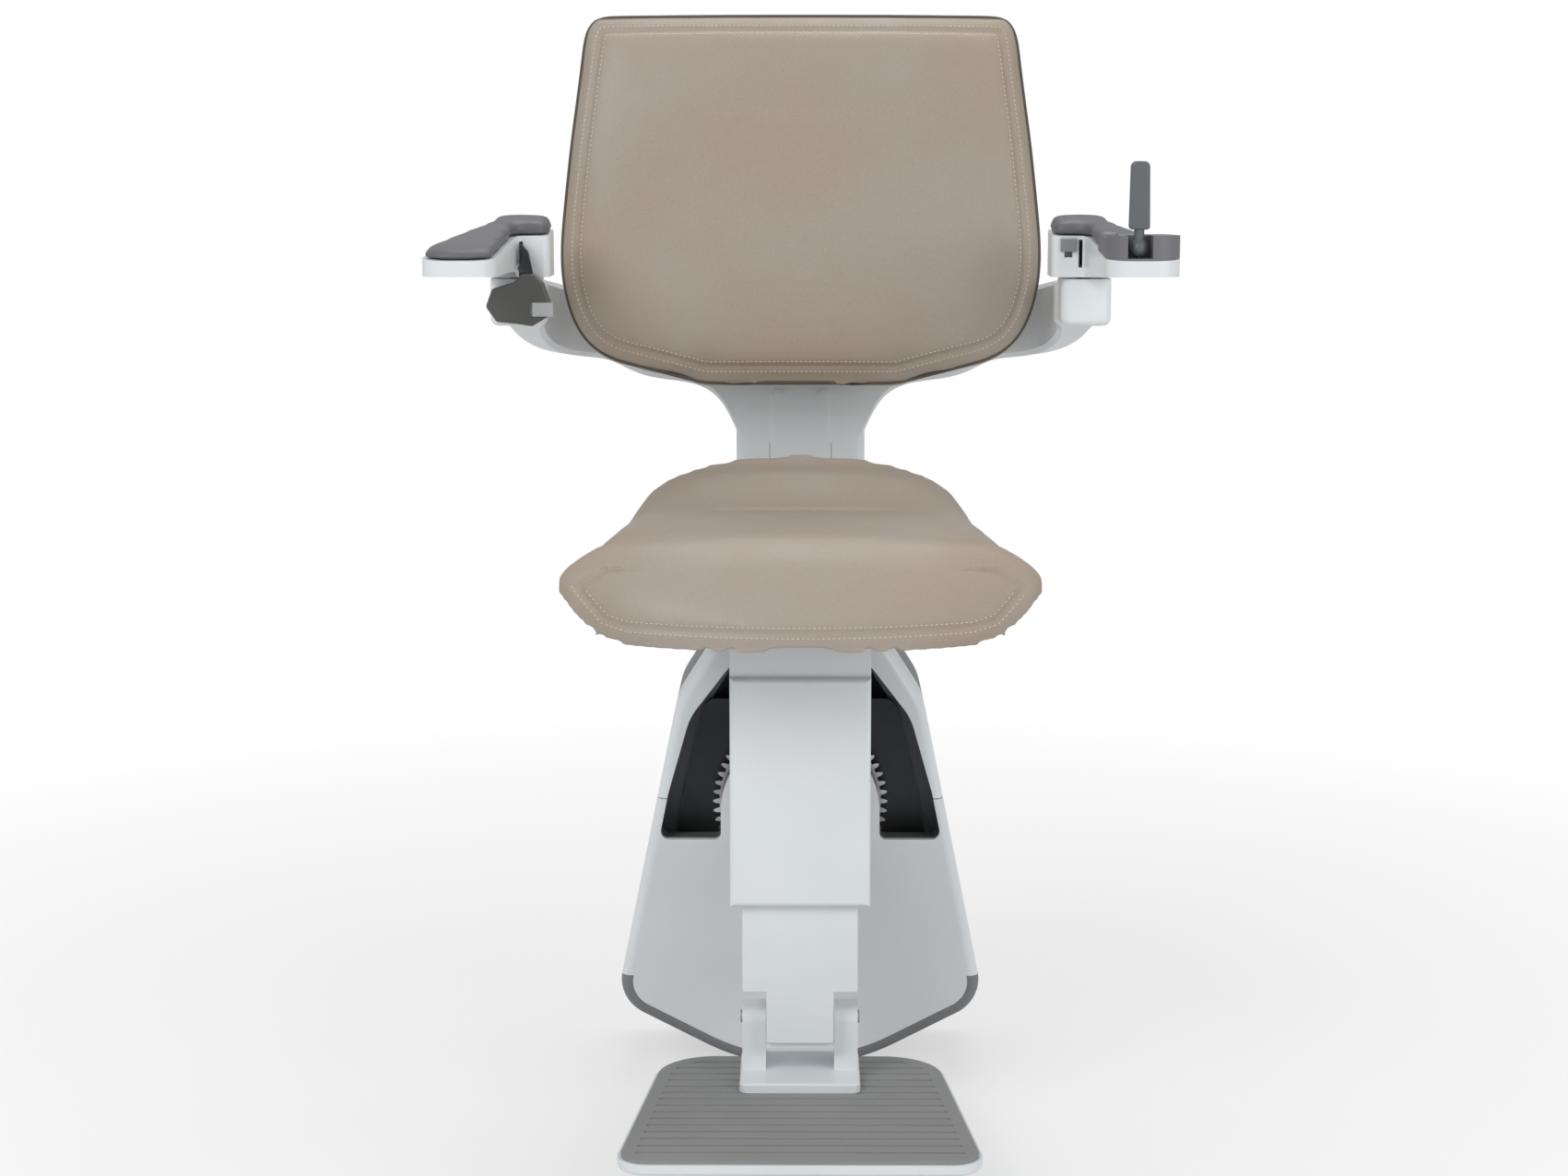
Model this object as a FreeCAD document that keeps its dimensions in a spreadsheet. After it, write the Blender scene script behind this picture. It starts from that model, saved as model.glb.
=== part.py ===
import FreeCAD, Part
import math
import os
import re
from types import SimpleNamespace

from FreeCAD import Placement, Rotation, Vector

# A stairlift chair: a carriage that runs on a tube rail, a levelling bracket, and a chair
# with folding seat, arms and footrest that turns on the bracket.
# Frame: origin on the rail tube's centre line, X along the rail, -Y to the sitter's front,
# Z up. Sizes are millimetres.

doc = FreeCAD.newDocument("stairlift_chair")
sheet = doc.addObject("Spreadsheet::Sheet", "sizes")

SIZES = {
    # clearances
    "fit_gap": 0.05,
    "running_gap": 0.3,
    "slide_gap": 0.5,
    "soft_gap": 0.3,
    "seat_play": 4,
    # rail, rollers and chassis
    "rail_radius": 40,
    "roller_neck": 18,
    "roller_width": 54,
    "roller_pitch": 200,
    "shaft_radius": 8,
    "shaft_head_radius": 12,
    "shaft_head_thickness": 4,
    "chassis_width": 296,
    "chassis_low": 104,
    "chassis_high": 250,
    "chassis_thickness": 8,
    "chassis_offset": 58,
    "chassis_top_width": 190,
    "chassis_foot": 36,
    "chassis_knee": 26,
    "chassis_hip": 118,
    "chassis_corner": 14,
    # rack drive
    "drive_module": 4,
    "drive_teeth": 14,
    "rack_height": 8,
    "pinion_width": 20,
    "drive_shaft_radius": 9,
    "gearbox_width": 80,
    "gearbox_height": 60,
    "gearbox_depth": 40,
    "gearbox_corner": 6,
    "motor_radius": 18,
    "motor_length": 88,
    "motor_drop": 150,
    "motor_height": "=level_height - motor_drop",
    "drive_case_width": 52,
    "drive_case_depth": 16,
    "motor_end": 6,
    # levelling
    "level_height": 150,
    "hub_radius": 30,
    "hub_flange_radius": 46,
    "hub_flange_thickness": 8,
    "ring_module": 3,
    "ring_teeth": 56,
    "level_pinion_teeth": 14,
    "gear_width": 10,
    "level_motor_radius": 26,
    "level_motor_length": 15,
    "level_shaft_radius": 6,
    "retainer_radius": 38,
    "retainer_thickness": 3,
    "arm_thickness": 10,
    "neck_inner": 92,
    "neck_height": 28,
    "neck_width": 52,
    "boss_radius": 28,
    "boss_height": 62,
    "bush_wall": 4,
    "bush_flange": 3,
    # swivel
    "swivel_reach": 270,
    "spindle_radius": 14,
    "spindle_flange_radius": 32,
    "spindle_flange_thickness": 8,
    "spindle_nut_radius": 23,
    "spindle_nut_thickness": 8,
    # power and control
    "battery_width": 65,
    "battery_depth": 90,
    "battery_height": 150,
    "battery_space": 8,
    "battery_base": 94,
    "board_width": 70,
    "board_height": 62,
    "board_thickness": 2,
    "board_standoff": 6,
    "contact_width": 24,
    "contact_height": 14,
    "contact_thickness": 14,
    "contact_place": 64,
    "contact_drop": 66,
    # shroud
    "shroud_front": 126,
    "shroud_wall": 3,
    "shroud_top": 335,
    "shroud_shoulder_half": 121,
    "shroud_shoulder_height": 258,
    "shroud_wide_half": 184,
    "shroud_wide_height": -52,
    "shroud_bottom": -152,
    "shroud_top_half": 72,
    "shroud_bottom_corner": 200,
    "shroud_side_corner": 40,
    "shroud_shoulder_corner": 60,
    "shroud_top_corner": 60,
    "shroud_slope_start": 122,
    "shroud_slope": 0.15,
    "shroud_edge": 10,
    "split_height": 162,
    "panel_gap": 1,
    "island_radius": 78,
    "slot_bottom": 121,
    "slot_rim": 10,
    "slot_shoulder_rim": 16,
    "slot_waist_height": 168,
    "slot_shoulder_height": 243,
    "slot_top_half": 52,
    "slot_top": 316,
    "slot_depth": 30,
    "slot_return": 8,
    "liner_wall": 2,
    "rear_depth": 44,
    "rail_notch": 96,
    "rear_flange": 32,
    "window_margin": 14,
    "rim_band": 12,
    "band_top": -24,
    "band_back": 70,
}

SIZES.update({
    # seat base and column
    "base_height": 352,
    "base_thickness": 10,
    "base_width": 220,
    "base_front": 322,
    "base_back": 52,
    "base_corner": 20,
    "column_width": 129,
    "column_ahead": 42,
    "column_front": "=swivel_reach + column_ahead",
    "column_wall": 3,
    "column_low": 103,
    "column_cover_top": 318,
    "column_depth": 76,
    "column_lug": 18,
    "column_cover_thickness": 6,
    "column_cover_edge": 5,
    "column_side_step": 230,
    "inner_width": 107,
    "inner_wall": 3,
    "inner_depth": 62,
    "inner_low": -38,
    "inner_notch": 19,
    "inner_foot_width": 63,
    "inner_cover_low": -30,
    "inner_cover_top": 148,
    "inner_guide_top": 300,
    "inner_back_top": 180,
    "inner_cover_thickness": 5,
    "pad_length": 36,
    "footrest_travel": 40,
    # footrest
    "footrest_top": -70,
    "footrest_thickness": 10,
    "footrest_front": 506,
    "footrest_back": 215,
    "footrest_front_half": 162,
    "footrest_back_half": 131,
    "footrest_front_corner": 26,
    "footrest_back_corner": 58,
    "mat_thickness": 3,
    "mat_border": 12,
    "mat_ribs": 15,
    "mat_rib_depth": 1.2,
    "tray_half": 56,
    "tray_front": 326,
    "tray_height": 9,
    "ear_thickness": 22,
    "ear_height": 67,
    "ear_depth": 46,
    "footrest_pin_radius": 6,
    "footrest_pin_height": 54,
    "footrest_pin_reach": 262,
    # seat
    "seat_front": 450,
    "seat_half": 219,
    "seat_waist_half": 172,
    "seat_waist_depth": 220,
    "seat_front_bow": 80,
    "seat_rear_half": 166,
    "seat_back": 92,
    "seat_surface": 452,
    "seat_lip_low": 360,
    "seat_lip_top": 388,
    "seat_tip_height": 412,
    "seat_rear_top": 503,
    "seat_underside": 402,
    "seat_tip_top": 420,
    "seat_side_top": 448,
    "seat_lip": 26,
    "seat_waterfall": 90,
    "flat_share": 0.8,
    "seat_upturn": 90,
    "seat_fold_reach": 110,
    "seat_fold_height": 380,
    "seat_pin_radius": 6,
    "seat_ear_thickness": 8,
    "seat_ear_offset": 78,
    "pan_thickness": 6,
    "pan_inset": 22,
    # back frame
    "stem_width": 130,
    "stem_front": 22,
    "stem_thickness": 30,
    "stem_top": 600,
    "stem_corner": 8,
    "hatch_width": 62,
    "hatch_low": 440,
    "hatch_high": 556,
    "hatch_thickness": 2.5,
    "arm_tube_thickness": 30,
    "post_inner": 245,
    "post_width": 47,
    "post_front": 172,
    "post_depth": 54,
    "post_low": 628,
    "post_top": 672,
    "post_corner": 10,
    # backrest
    "backrest_low": 566,
    "backrest_high": 930,
    "backrest_half": 239,
    "backrest_top_half": 212,
    "backrest_front": 72,
    "backrest_thickness": 52,
    "backrest_lean": 8,
    "backrest_crown": 9,
    "back_shell_thickness": 6,
    "back_bracket_width": 90,
    "back_bracket_low": 572,
    "back_bracket_high": 720,
    "back_bracket_top": 10,
    # arms
    "arm_inner_rear": 235,
    "arm_inner_front": 267,
    "arm_outer": 332,
    "arm_outer_rear": 292.5,
    "arm_flare_front": 330,
    "arm_flare_rear": 165,
    "arm_rear": 118,
    "arm_front": 366,
    "arm_low": 674,
    "arm_block_depth": 58,
    "arm_shell_top_rear": 717,
    "arm_shell_top_front": 697,
    "arm_pad_thickness_rear": 16,
    "arm_pad_thickness_front": 10,
    "arm_pin_reach": 130,
    "arm_pin_height": 690,
    "arm_pin_radius": 5,
    "arm_lug_thickness": 12,
    "arm_pad_round": 7,
    # controls on the right arm
    "cap_length": 78,
    "cap_height": 22,
    "stick_place": 295,
    "stick_width": 18,
    "stick_thickness": 12,
    "stick_top": 783,
    "stick_pivot_height": 708,
    "stick_ball_radius": 8,
    "stick_neck_radius": 4.5,
    "stick_pin_radius": 2.5,
    "stick_reach": 352,
    "button_radius": 6,
    "button_height": 5,
    "button_rise": 1.5,
    "button_travel": 1,
    "button_space": 20,
    "latch_width": 7.4,
    "latch_height": 30,
    "latch_depth": 26,
    "latch_low": 683,
    "tab_width": 15,
    "tab_height": 12,
    "tab_thickness": 4,
    "tab_travel": 8,
    # belt on the left arm
    "reel_radius": 12,
    "reel_width": 24,
    "reel_reach": 160,
    "reel_height": 692,
    "belt_width": 20,
    "belt_folded": 13,
    "belt_thickness": 1.6,
    "grip_inner": 233,
    "grip_outer": 292,
    "grip_low": 630,
    "grip_high": 678.5,
    "grip_thickness": 22,
    "tongue_length": 20,
    "tongue_width": 14,
    "tongue_thickness": 3,
    # fasteners
    "bolt_radius": 4,
    "bolt_head": 2.5,
    "screw_inset": 8,
})

for row, (alias, number) in enumerate(SIZES.items(), start=1):
    sheet.set(f"A{row}", alias)
    sheet.set(f"B{row}", str(number))
    sheet.setAlias(f"B{row}", alias)
doc.recompute()
s = SimpleNamespace(**{alias: float(sheet.get(alias)) for alias in SIZES})


# Helpers: formulas bound to the sheet

WORD = re.compile(r"[a-z]+(?:_[a-z]+)*")
AXIS_TURN = {
    "x": Rotation(Vector(0, 1, 0), 90),
    "y": Rotation(Vector(1, 0, 0), -90),
    "z": Rotation(),
}
UPRIGHT = Rotation(Vector(1, 0, 0), 90)
SIDEWAYS = Rotation(Vector(1, 1, 1), 120)


def bind(thing, path, formula):
    """Bind one property to a formula whose words are sizes in the sheet."""
    text = WORD.sub(lambda word: "sizes." + word.group(0) if word.group(0) in SIZES else word.group(0), str(formula))
    thing.setExpression(path, text)


def place(piece, x, y, z, axis="z"):
    """Turn a primitive's own Z to an axis and bind its corner or centre."""
    piece.Placement = Placement(Vector(), AXIS_TURN[axis])
    for letter, formula in zip("xyz", (x, y, z)):
        bind(piece, f"Placement.Base.{letter}", formula)
    return piece


def block(name, low, high):
    piece = doc.addObject("Part::Box", name)
    for side, start, end in zip(("Length", "Width", "Height"), low, high):
        bind(piece, side, f"({end}) - ({start})")
    return place(piece, *low)


def rod(name, axis, radius, length, centre):
    piece = doc.addObject("Part::Cylinder", name)
    bind(piece, "Radius", radius)
    bind(piece, "Height", length)
    return place(piece, *centre, axis=axis)


def join(name, *pieces):
    piece = doc.addObject("Part::MultiFuse", name)
    piece.Shapes = list(pieces)
    return piece


def group(name, *pieces):
    piece = doc.addObject("Part::Compound", name)
    piece.Links = list(pieces)
    return piece


def cut(name, base, *tools):
    piece = doc.addObject("Part::Cut", name)
    piece.Base = base
    piece.Tool = tools[0] if len(tools) == 1 else join(name + "_tools", *tools)
    return piece


def rounded(name, base, radius, wanted):
    """Fillet the edges of a base for which wanted(edge) is true."""
    doc.recompute()
    piece = doc.addObject("Part::Fillet", name)
    piece.Base = base
    piece.Edges = [(i, radius, radius) for i, edge in enumerate(base.Shape.Edges, start=1) if wanted(edge)]
    return piece


def along(direction):
    """A test for straight edges that run in one direction."""
    def test(edge):
        if not isinstance(edge.Curve, Part.Line):
            return False
        return abs(edge.Curve.Direction.dot(direction)) > 0.999
    return test


X_AXIS, Y_AXIS, Z_AXIS = Vector(1, 0, 0), Vector(0, 1, 0), Vector(0, 0, 1)


# Helpers: outlines, plates and lofts

def outline(points):
    """Lines and corner arcs through (x, y, corner radius) points, closed, in the XY plane."""
    count = len(points)
    ends = []
    for i, (x, y, radius) in enumerate(points):
        here = Vector(x, y, 0)
        back = (Vector(*points[i - 1][:2], 0) - here).normalize()
        ahead = (Vector(*points[(i + 1) % count][:2], 0) - here).normalize()
        half = math.acos(max(-1, min(1, back.dot(ahead)))) / 2
        if radius == 0:
            ends.append((here, here, here))
            continue
        reach = radius / math.tan(half)
        middle = (back + ahead).normalize() * (radius / math.sin(half) - radius)
        ends.append((here + back * reach, here + middle, here + ahead * reach))
    edges = []
    for i, (start, middle, finish) in enumerate(ends):
        if points[i][2]:
            edges.append(Part.Arc(start, middle, finish))
        following = ends[(i + 1) % count][0]
        if (following - finish).Length > 1e-6:
            edges.append(Part.LineSegment(finish, following))
    return edges


def circle(radius, x=0, y=0):
    return [Part.Circle(Vector(x, y, 0), Z_AXIS, radius)]


def mirrored(points):
    """Add the mirror of the right-hand points of a symmetric outline."""
    return points + [(-x, y, radius) for x, y, radius in reversed(points) if x > 1e-6]


def wire(edges):
    return Part.Wire([edge.toShape() for edge in edges])


def face_of(edges, holes=()):
    """A flat face inside an outline, with holes."""
    return Part.makeFace([wire(edges)] + [wire(hole) for hole in holes], "Part::FaceMakerBullseye")


def upright(edges, front, back, holes=()):
    """A solid from an (x, z) outline between two depths."""
    face = face_of(edges, holes)
    solid = face.extrude(Vector(0, 0, back - front))
    solid.Placement = Placement(Vector(0, back, 0), UPRIGHT)
    return solid


def flat(edges, low, high, holes=()):
    """A solid from an (x, y) outline between two heights."""
    face = face_of(edges, holes)
    solid = face.extrude(Vector(0, 0, high - low))
    solid.Placement = Placement(Vector(0, 0, low), Rotation())
    return solid


def sideways(edges, left, right, holes=()):
    """A solid from a (y, z) outline between two side places."""
    face = face_of(edges, holes)
    solid = face.extrude(Vector(0, 0, right - left))
    solid.Placement = Placement(Vector(left, 0, 0), SIDEWAYS)
    return solid


def feature(name, shape):
    """A part whose shape is worked out from the sheet."""
    piece = doc.addObject("Part::Feature", name)
    place_of_shape = shape.Placement
    piece.Shape = shape
    piece.Placement = place_of_shape
    return piece


def drawing(body, name, role, start, edges):
    """A sketch on one of a body's own origin planes, offset along its normal."""
    sketch = body.newObject("Sketcher::SketchObject", name)
    plane = next(item for item in body.Origin.OriginFeatures if item.Role == role)
    sketch.AttachmentSupport = [(plane, "")]
    sketch.MapMode = "FlatFace"
    bind(sketch, "AttachmentOffset.Base.z", start)
    for edge in edges:
        sketch.addGeometry(edge, False)
    return sketch


def plate(name, role, start, length, edges, holes=()):
    """A PartDesign body: an outline padded from an origin plane, with holes pocketed through."""
    body = doc.addObject("PartDesign::Body", name)
    pad = body.newObject("PartDesign::Pad", name + "_pad")
    pad.Profile = drawing(body, name + "_outline", role, start, edges)
    bind(pad, "Length", length)
    body.Tip = pad
    if not holes:
        return body
    doc.recompute()
    full = body.Shape.Volume
    pocket = body.newObject("PartDesign::Pocket", name + "_pocket")
    pocket.Profile = drawing(body, name + "_holes", role, start, holes)
    bind(pocket, "Length", length)
    pocket.Reversed = True
    body.Tip = pocket
    doc.recompute()
    if body.Shape.Volume > full - 1:
        raise RuntimeError(f"the holes of {name} cut nothing")
    return body


def gear(teeth, module):
    """The outline of a spur gear with straight flanks, a tooth's middle on its first axis."""
    pitch = teeth * module / 2
    root = pitch - 1.25 * module
    tip = pitch + module * 0.9
    step = 2 * math.pi / teeth
    flanks = ((root, -0.29), (pitch, -0.215), (tip, -0.08), (tip, 0.08), (pitch, 0.215), (root, 0.29))
    points = []
    for tooth in range(int(teeth)):
        for radius, share in flanks:
            angle = step * (tooth + share)
            points.append((radius * math.cos(angle), radius * math.sin(angle), 0))
    return outline(points)


def loft(wires, smooth=True):
    return Part.makeLoft(wires, True, not smooth)


# Places worked out from the sizes

roller_height = s.rail_radius + s.roller_neck + s.running_gap
chassis_front = -(s.chassis_offset + s.chassis_thickness)
drive_pitch = s.drive_module * s.drive_teeth / 2
pinion_height = -(s.rail_radius + s.rack_height + drive_pitch)
ring_pitch = s.ring_module * s.ring_teeth / 2
level_pinion_pitch = s.ring_module * s.level_pinion_teeth / 2
level_pinion_height = s.level_height - ring_pitch - level_pinion_pitch
hub_step = chassis_front - s.hub_flange_thickness
ring_front = hub_step - s.running_gap - s.gear_width
arm_front_face = ring_front - s.arm_thickness
hub_end = arm_front_face - s.running_gap

# The same places as formulas for bound parts

ROLLER_Z = "(rail_radius + roller_neck + running_gap)"
CHASSIS_FRONT = "(-chassis_offset - chassis_thickness)"
PINION_Z = "(-rail_radius - rack_height - drive_module * drive_teeth / 2)"
LEVEL_PINION_Z = "(level_height - ring_module * (ring_teeth + level_pinion_teeth) / 2)"
HUB_STEP = f"({CHASSIS_FRONT} - hub_flange_thickness)"
RING_FRONT = f"({HUB_STEP} - running_gap - gear_width)"
ARM_FACE = f"({RING_FRONT} - arm_thickness)"
HUB_END = f"({ARM_FACE} - running_gap)"

SIDES = {"left": -1, "right": 1}
LEVELS = {"upper": 1, "lower": -1}


# Carriage: chassis plate

chassis_half = s.chassis_width / 2
chassis_points = mirrored([
    (s.chassis_foot, -s.chassis_low, s.chassis_corner),
    (chassis_half, -s.chassis_knee, s.chassis_corner),
    (s.chassis_hip, s.level_height, s.chassis_corner),
    (s.chassis_top_width / 2, s.chassis_high, s.chassis_corner),
])
chassis_holes = [
    Part.Circle(Vector(side * s.roller_pitch / 2, level * roller_height, 0), Z_AXIS, s.shaft_radius)
    for side in SIDES.values()
    for level in LEVELS.values()
] + [
    Part.Circle(Vector(0, pinion_height, 0), Z_AXIS, s.drive_shaft_radius + s.slide_gap),
    Part.Circle(Vector(0, level_pinion_height, 0), Z_AXIS, s.level_shaft_radius + s.slide_gap),
]
chassis_plate = plate(
    "chassis_plate", "XZ_Plane", "chassis_offset", "chassis_thickness", outline(chassis_points), chassis_holes
)

# Carriage: rollers on cantilever shafts, each with a head at its free end

shaft_pieces = []
for side_name, side in SIDES.items():
    for level_name, level in LEVELS.items():
        centre_x = f"{side} * roller_pitch / 2"
        centre_z = f"{level} * {ROLLER_Z}"
        tag = f"{level_name}_{side_name}"
        shank = rod(
            f"shank_{tag}", "y", "shaft_radius",
            "chassis_offset + chassis_thickness + roller_width / 2 + running_gap",
            (centre_x, CHASSIS_FRONT, centre_z),
        )
        head = rod(
            f"head_{tag}", "y", "shaft_head_radius", "shaft_head_thickness",
            (centre_x, "roller_width / 2 + running_gap", centre_z),
        )
        collar = rod(
            f"collar_{tag}", "y", "shaft_head_radius", "chassis_offset - roller_width / 2 - running_gap",
            (centre_x, "-chassis_offset", centre_z),
        )
        shaft_pieces.append(join(f"shaft_{tag}", shank, head, collar))
roller_shafts = group("roller_shafts", *shaft_pieces)

groove_radius = s.rail_radius + s.running_gap
roller_half = s.roller_width / 2


def roller_shape(x, z):
    """A waisted roller whose groove follows the tube."""
    bore = s.shaft_radius + s.fit_gap
    lip = roller_height - math.sqrt(groove_radius ** 2 - (roller_half - 2) ** 2)
    face = Part.Wire([
        Part.makeLine(Vector(bore, -roller_half, 0), Vector(lip, -roller_half, 0)),
        Part.makeLine(Vector(lip, -roller_half, 0), Vector(lip, -roller_half + 2, 0)),
        Part.Arc(
            Vector(lip, -roller_half + 2, 0), Vector(s.roller_neck, 0, 0), Vector(lip, roller_half - 2, 0)
        ).toShape(),
        Part.makeLine(Vector(lip, roller_half - 2, 0), Vector(lip, roller_half, 0)),
        Part.makeLine(Vector(lip, roller_half, 0), Vector(bore, roller_half, 0)),
        Part.makeLine(Vector(bore, roller_half, 0), Vector(bore, -roller_half, 0)),
    ])
    solid = Part.Face(face).revolve(Vector(), Y_AXIS, 360)
    solid.translate(Vector(x, 0, z))
    return solid


for side_name, side in SIDES.items():
    for level_name, level in LEVELS.items():
        feature(
            f"roller_{level_name}_{side_name}",
            roller_shape(side * s.roller_pitch / 2, level * roller_height),
        )

# Carriage: rack drive below the rail, gearbox behind the chassis and motor in front of it

gearbox_back = -s.chassis_offset + s.gearbox_depth
gearbox_body = block(
    "gearbox_body",
    ("-gearbox_width / 2", "-chassis_offset", f"{PINION_Z} - gearbox_height / 2"),
    ("gearbox_width / 2", "-chassis_offset + gearbox_depth", f"{PINION_Z} + gearbox_height / 2"),
)
gearbox_bore = rod(
    "gearbox_bore", "y", "drive_shaft_radius + fit_gap", "gearbox_depth + 2",
    ("0", "-chassis_offset - 1", PINION_Z),
)
drive_gearbox = cut(
    "drive_gearbox", rounded("gearbox_rounded", gearbox_body, s.gearbox_corner, along(Y_AXIS)), gearbox_bore
)

drive_shaft = Part.makeCylinder(
    s.drive_shaft_radius,
    s.chassis_offset + s.chassis_thickness + s.pinion_width / 2 + s.motor_end,
    Vector(0, chassis_front - s.motor_end, pinion_height), Y_AXIS,
)
drive_gear = upright(gear(s.drive_teeth, s.drive_module), -s.pinion_width / 2, s.pinion_width / 2)
drive_gear.translate(Vector(0, 0, pinion_height))
governor_drum = Part.makeCylinder(
    s.drive_shaft_radius * 2, s.motor_end / 2, Vector(0, gearbox_back + s.slide_gap, pinion_height), Y_AXIS
)
feature("drive_pinion", drive_shaft.fuse([drive_gear, governor_drum]))

motor_back = s.motor_radius - 2
motor_case = Part.makeCylinder(
    s.motor_radius, s.motor_length,
    Vector(s.gearbox_width / 2 + s.motor_end, chassis_front - motor_back, s.motor_height), X_AXIS,
)
motor_cap = Part.makeCone(
    s.motor_radius, s.motor_radius * 0.7, s.motor_end,
    Vector(s.gearbox_width / 2 + s.motor_end + s.motor_length, chassis_front - motor_back, s.motor_height), X_AXIS,
)
motor_flat = Part.makeBox(
    s.motor_length * 2, s.motor_radius, s.motor_radius * 2,
    Vector(s.gearbox_width / 2, chassis_front, s.motor_height - s.motor_radius),
)
worm_left = -s.drive_case_width / 2
worm_case = Part.makeBox(
    s.gearbox_width / 2 + s.motor_end - worm_left, s.motor_radius + motor_back, s.motor_radius * 2,
    Vector(worm_left, chassis_front - s.motor_radius - motor_back, s.motor_height - s.motor_radius),
)
shaft_case_low = pinion_height - s.drive_shaft_radius * 2
shaft_case = Part.makeBox(
    s.drive_case_width, s.drive_case_depth, s.motor_height - s.motor_radius - shaft_case_low,
    Vector(worm_left, chassis_front - s.drive_case_depth, shaft_case_low),
)
shaft_bore = Part.makeCylinder(
    s.drive_shaft_radius + s.fit_gap, s.motor_end + 1, Vector(0, chassis_front - s.motor_end - 0.5, pinion_height), Y_AXIS
)
feature("drive_motor", motor_case.fuse([motor_cap, worm_case, shaft_case]).cut([motor_flat, shaft_bore]))

# Carriage: levelling hub, its retaining ring and the levelling drive

hub_flange = rod(
    "hub_flange", "y", "hub_flange_radius", "hub_flange_thickness", ("0", HUB_STEP, "level_height")
)
hub_spigot = rod(
    "hub_spigot", "y", "hub_radius", "2 * running_gap + gear_width + arm_thickness",
    ("0", HUB_END, "level_height"),
)
level_hub = join("level_hub", hub_flange, hub_spigot)
level_retainer = rod(
    "level_retainer", "y", "retainer_radius", "retainer_thickness",
    ("0", f"{HUB_END} - retainer_thickness", "level_height"),
)

level_shaft = Part.makeCylinder(
    s.level_shaft_radius, s.chassis_thickness + s.hub_flange_thickness + s.gear_width + s.motor_end,
    Vector(0, ring_front, level_pinion_height), Y_AXIS,
)
level_pinion_gear = upright(gear(s.level_pinion_teeth, s.ring_module), ring_front, ring_front + s.gear_width)
level_pinion_gear.translate(Vector(0, 0, level_pinion_height))
feature("level_pinion", level_shaft.fuse(level_pinion_gear))

level_motor_case = rod(
    "level_motor_case", "y", "level_motor_radius", "level_motor_length",
    ("0", "-chassis_offset", LEVEL_PINION_Z),
)
level_motor_bore = rod(
    "level_motor_bore", "y", "level_shaft_radius + fit_gap", "motor_end + 1",
    ("0", "-chassis_offset - 1", LEVEL_PINION_Z),
)
level_motor = cut("level_motor", level_motor_case, level_motor_bore)

# Carriage: two batteries behind the chassis, above the rail

for side_name, side in SIDES.items():
    inner = "battery_space / 2" if side > 0 else "-battery_space / 2 - battery_width"
    case = block(
        f"battery_case_{side_name}",
        (inner, "-chassis_offset", "battery_base"),
        (f"{inner} + battery_width", "-chassis_offset + battery_depth", "battery_base + battery_height"),
    )
    rounded(f"battery_{side_name}", case, s.motor_end / 2, along(Z_AXIS))

# Carriage: control board on four stand-offs

board_left = -s.chassis_hip
board_low = s.motor_height - s.board_height / 2
board_front = chassis_front - s.board_standoff - s.board_thickness
board = Part.makeBox(
    s.board_width, s.board_thickness, s.board_height, Vector(board_left, board_front, board_low)
)
standoffs = [
    Part.makeCylinder(
        3, s.board_standoff,
        Vector(board_left + across, chassis_front - s.board_standoff, board_low + up), Y_AXIS,
    )
    for across in (5, s.board_width - 5)
    for up in (5, s.board_height - 5)
]
relay = Part.makeBox(18, 12, 22, Vector(board_left + 8, board_front - 12, board_low + 26))
screen = Part.makeBox(26, 8, 16, Vector(board_left + 34, board_front - 8, board_low + 12))
feature("control_board", board.fuse(standoffs + [relay, screen]))


# Shroud: the outline and depth shared by the front shells and the back shell

shroud_edges = outline(mirrored([
    (0, s.shroud_bottom, s.shroud_bottom_corner),
    (s.shroud_wide_half, s.shroud_wide_height, s.shroud_side_corner),
    (s.shroud_shoulder_half, s.shroud_shoulder_height, s.shroud_shoulder_corner),
    (s.shroud_top_half, s.shroud_top, s.shroud_top_corner),
]))


def slot_half_at(height, rim):
    """Half the slot's width at a height: the shroud's side there less a rim."""
    share = (s.shroud_shoulder_height - height) / (s.shroud_shoulder_height - s.shroud_wide_height)
    return s.shroud_shoulder_half + (s.shroud_wide_half - s.shroud_shoulder_half) * share - rim


slot_outer = slot_half_at(s.slot_bottom, s.slot_rim)
slot_waist = slot_half_at(s.slot_waist_height, s.slot_rim)
slot_shoulder = slot_half_at(s.slot_shoulder_height, s.slot_shoulder_rim)
slot_edges = outline([
    (s.island_radius, s.slot_bottom, 6),
    (slot_outer, s.slot_bottom, 8),
    (slot_waist, s.slot_waist_height, 60),
    (slot_shoulder, s.slot_shoulder_height, 60),
    (s.slot_top_half, s.slot_top, 70),
    (-s.slot_top_half, s.slot_top, 70),
    (-slot_shoulder, s.slot_shoulder_height, 60),
    (-slot_waist, s.slot_waist_height, 60),
    (-slot_outer, s.slot_bottom, 8),
    (-s.island_radius, s.slot_bottom, 6),
    (-s.island_radius, s.level_height + s.island_radius, s.island_radius),
    (s.island_radius, s.level_height + s.island_radius, s.island_radius),
])


def inset_wire(edges, inset):
    """The wire of an outline, drawn in by an inset or out by a negative one."""
    loop = wire(edges)
    return loop.makeOffset2D(-inset) if inset else loop


def upright_ring(outer, inner, front, back):
    """A wall between two closed wires drawn in (x, z)."""
    solid = Part.Face(outer).extrude(Vector(0, 0, back - front))
    if inner is not None:
        solid = solid.cut(Part.Face(inner).extrude(Vector(0, 0, back - front)))
    solid.Placement = Placement(Vector(0, back, 0), UPRIGHT)
    return solid


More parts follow.
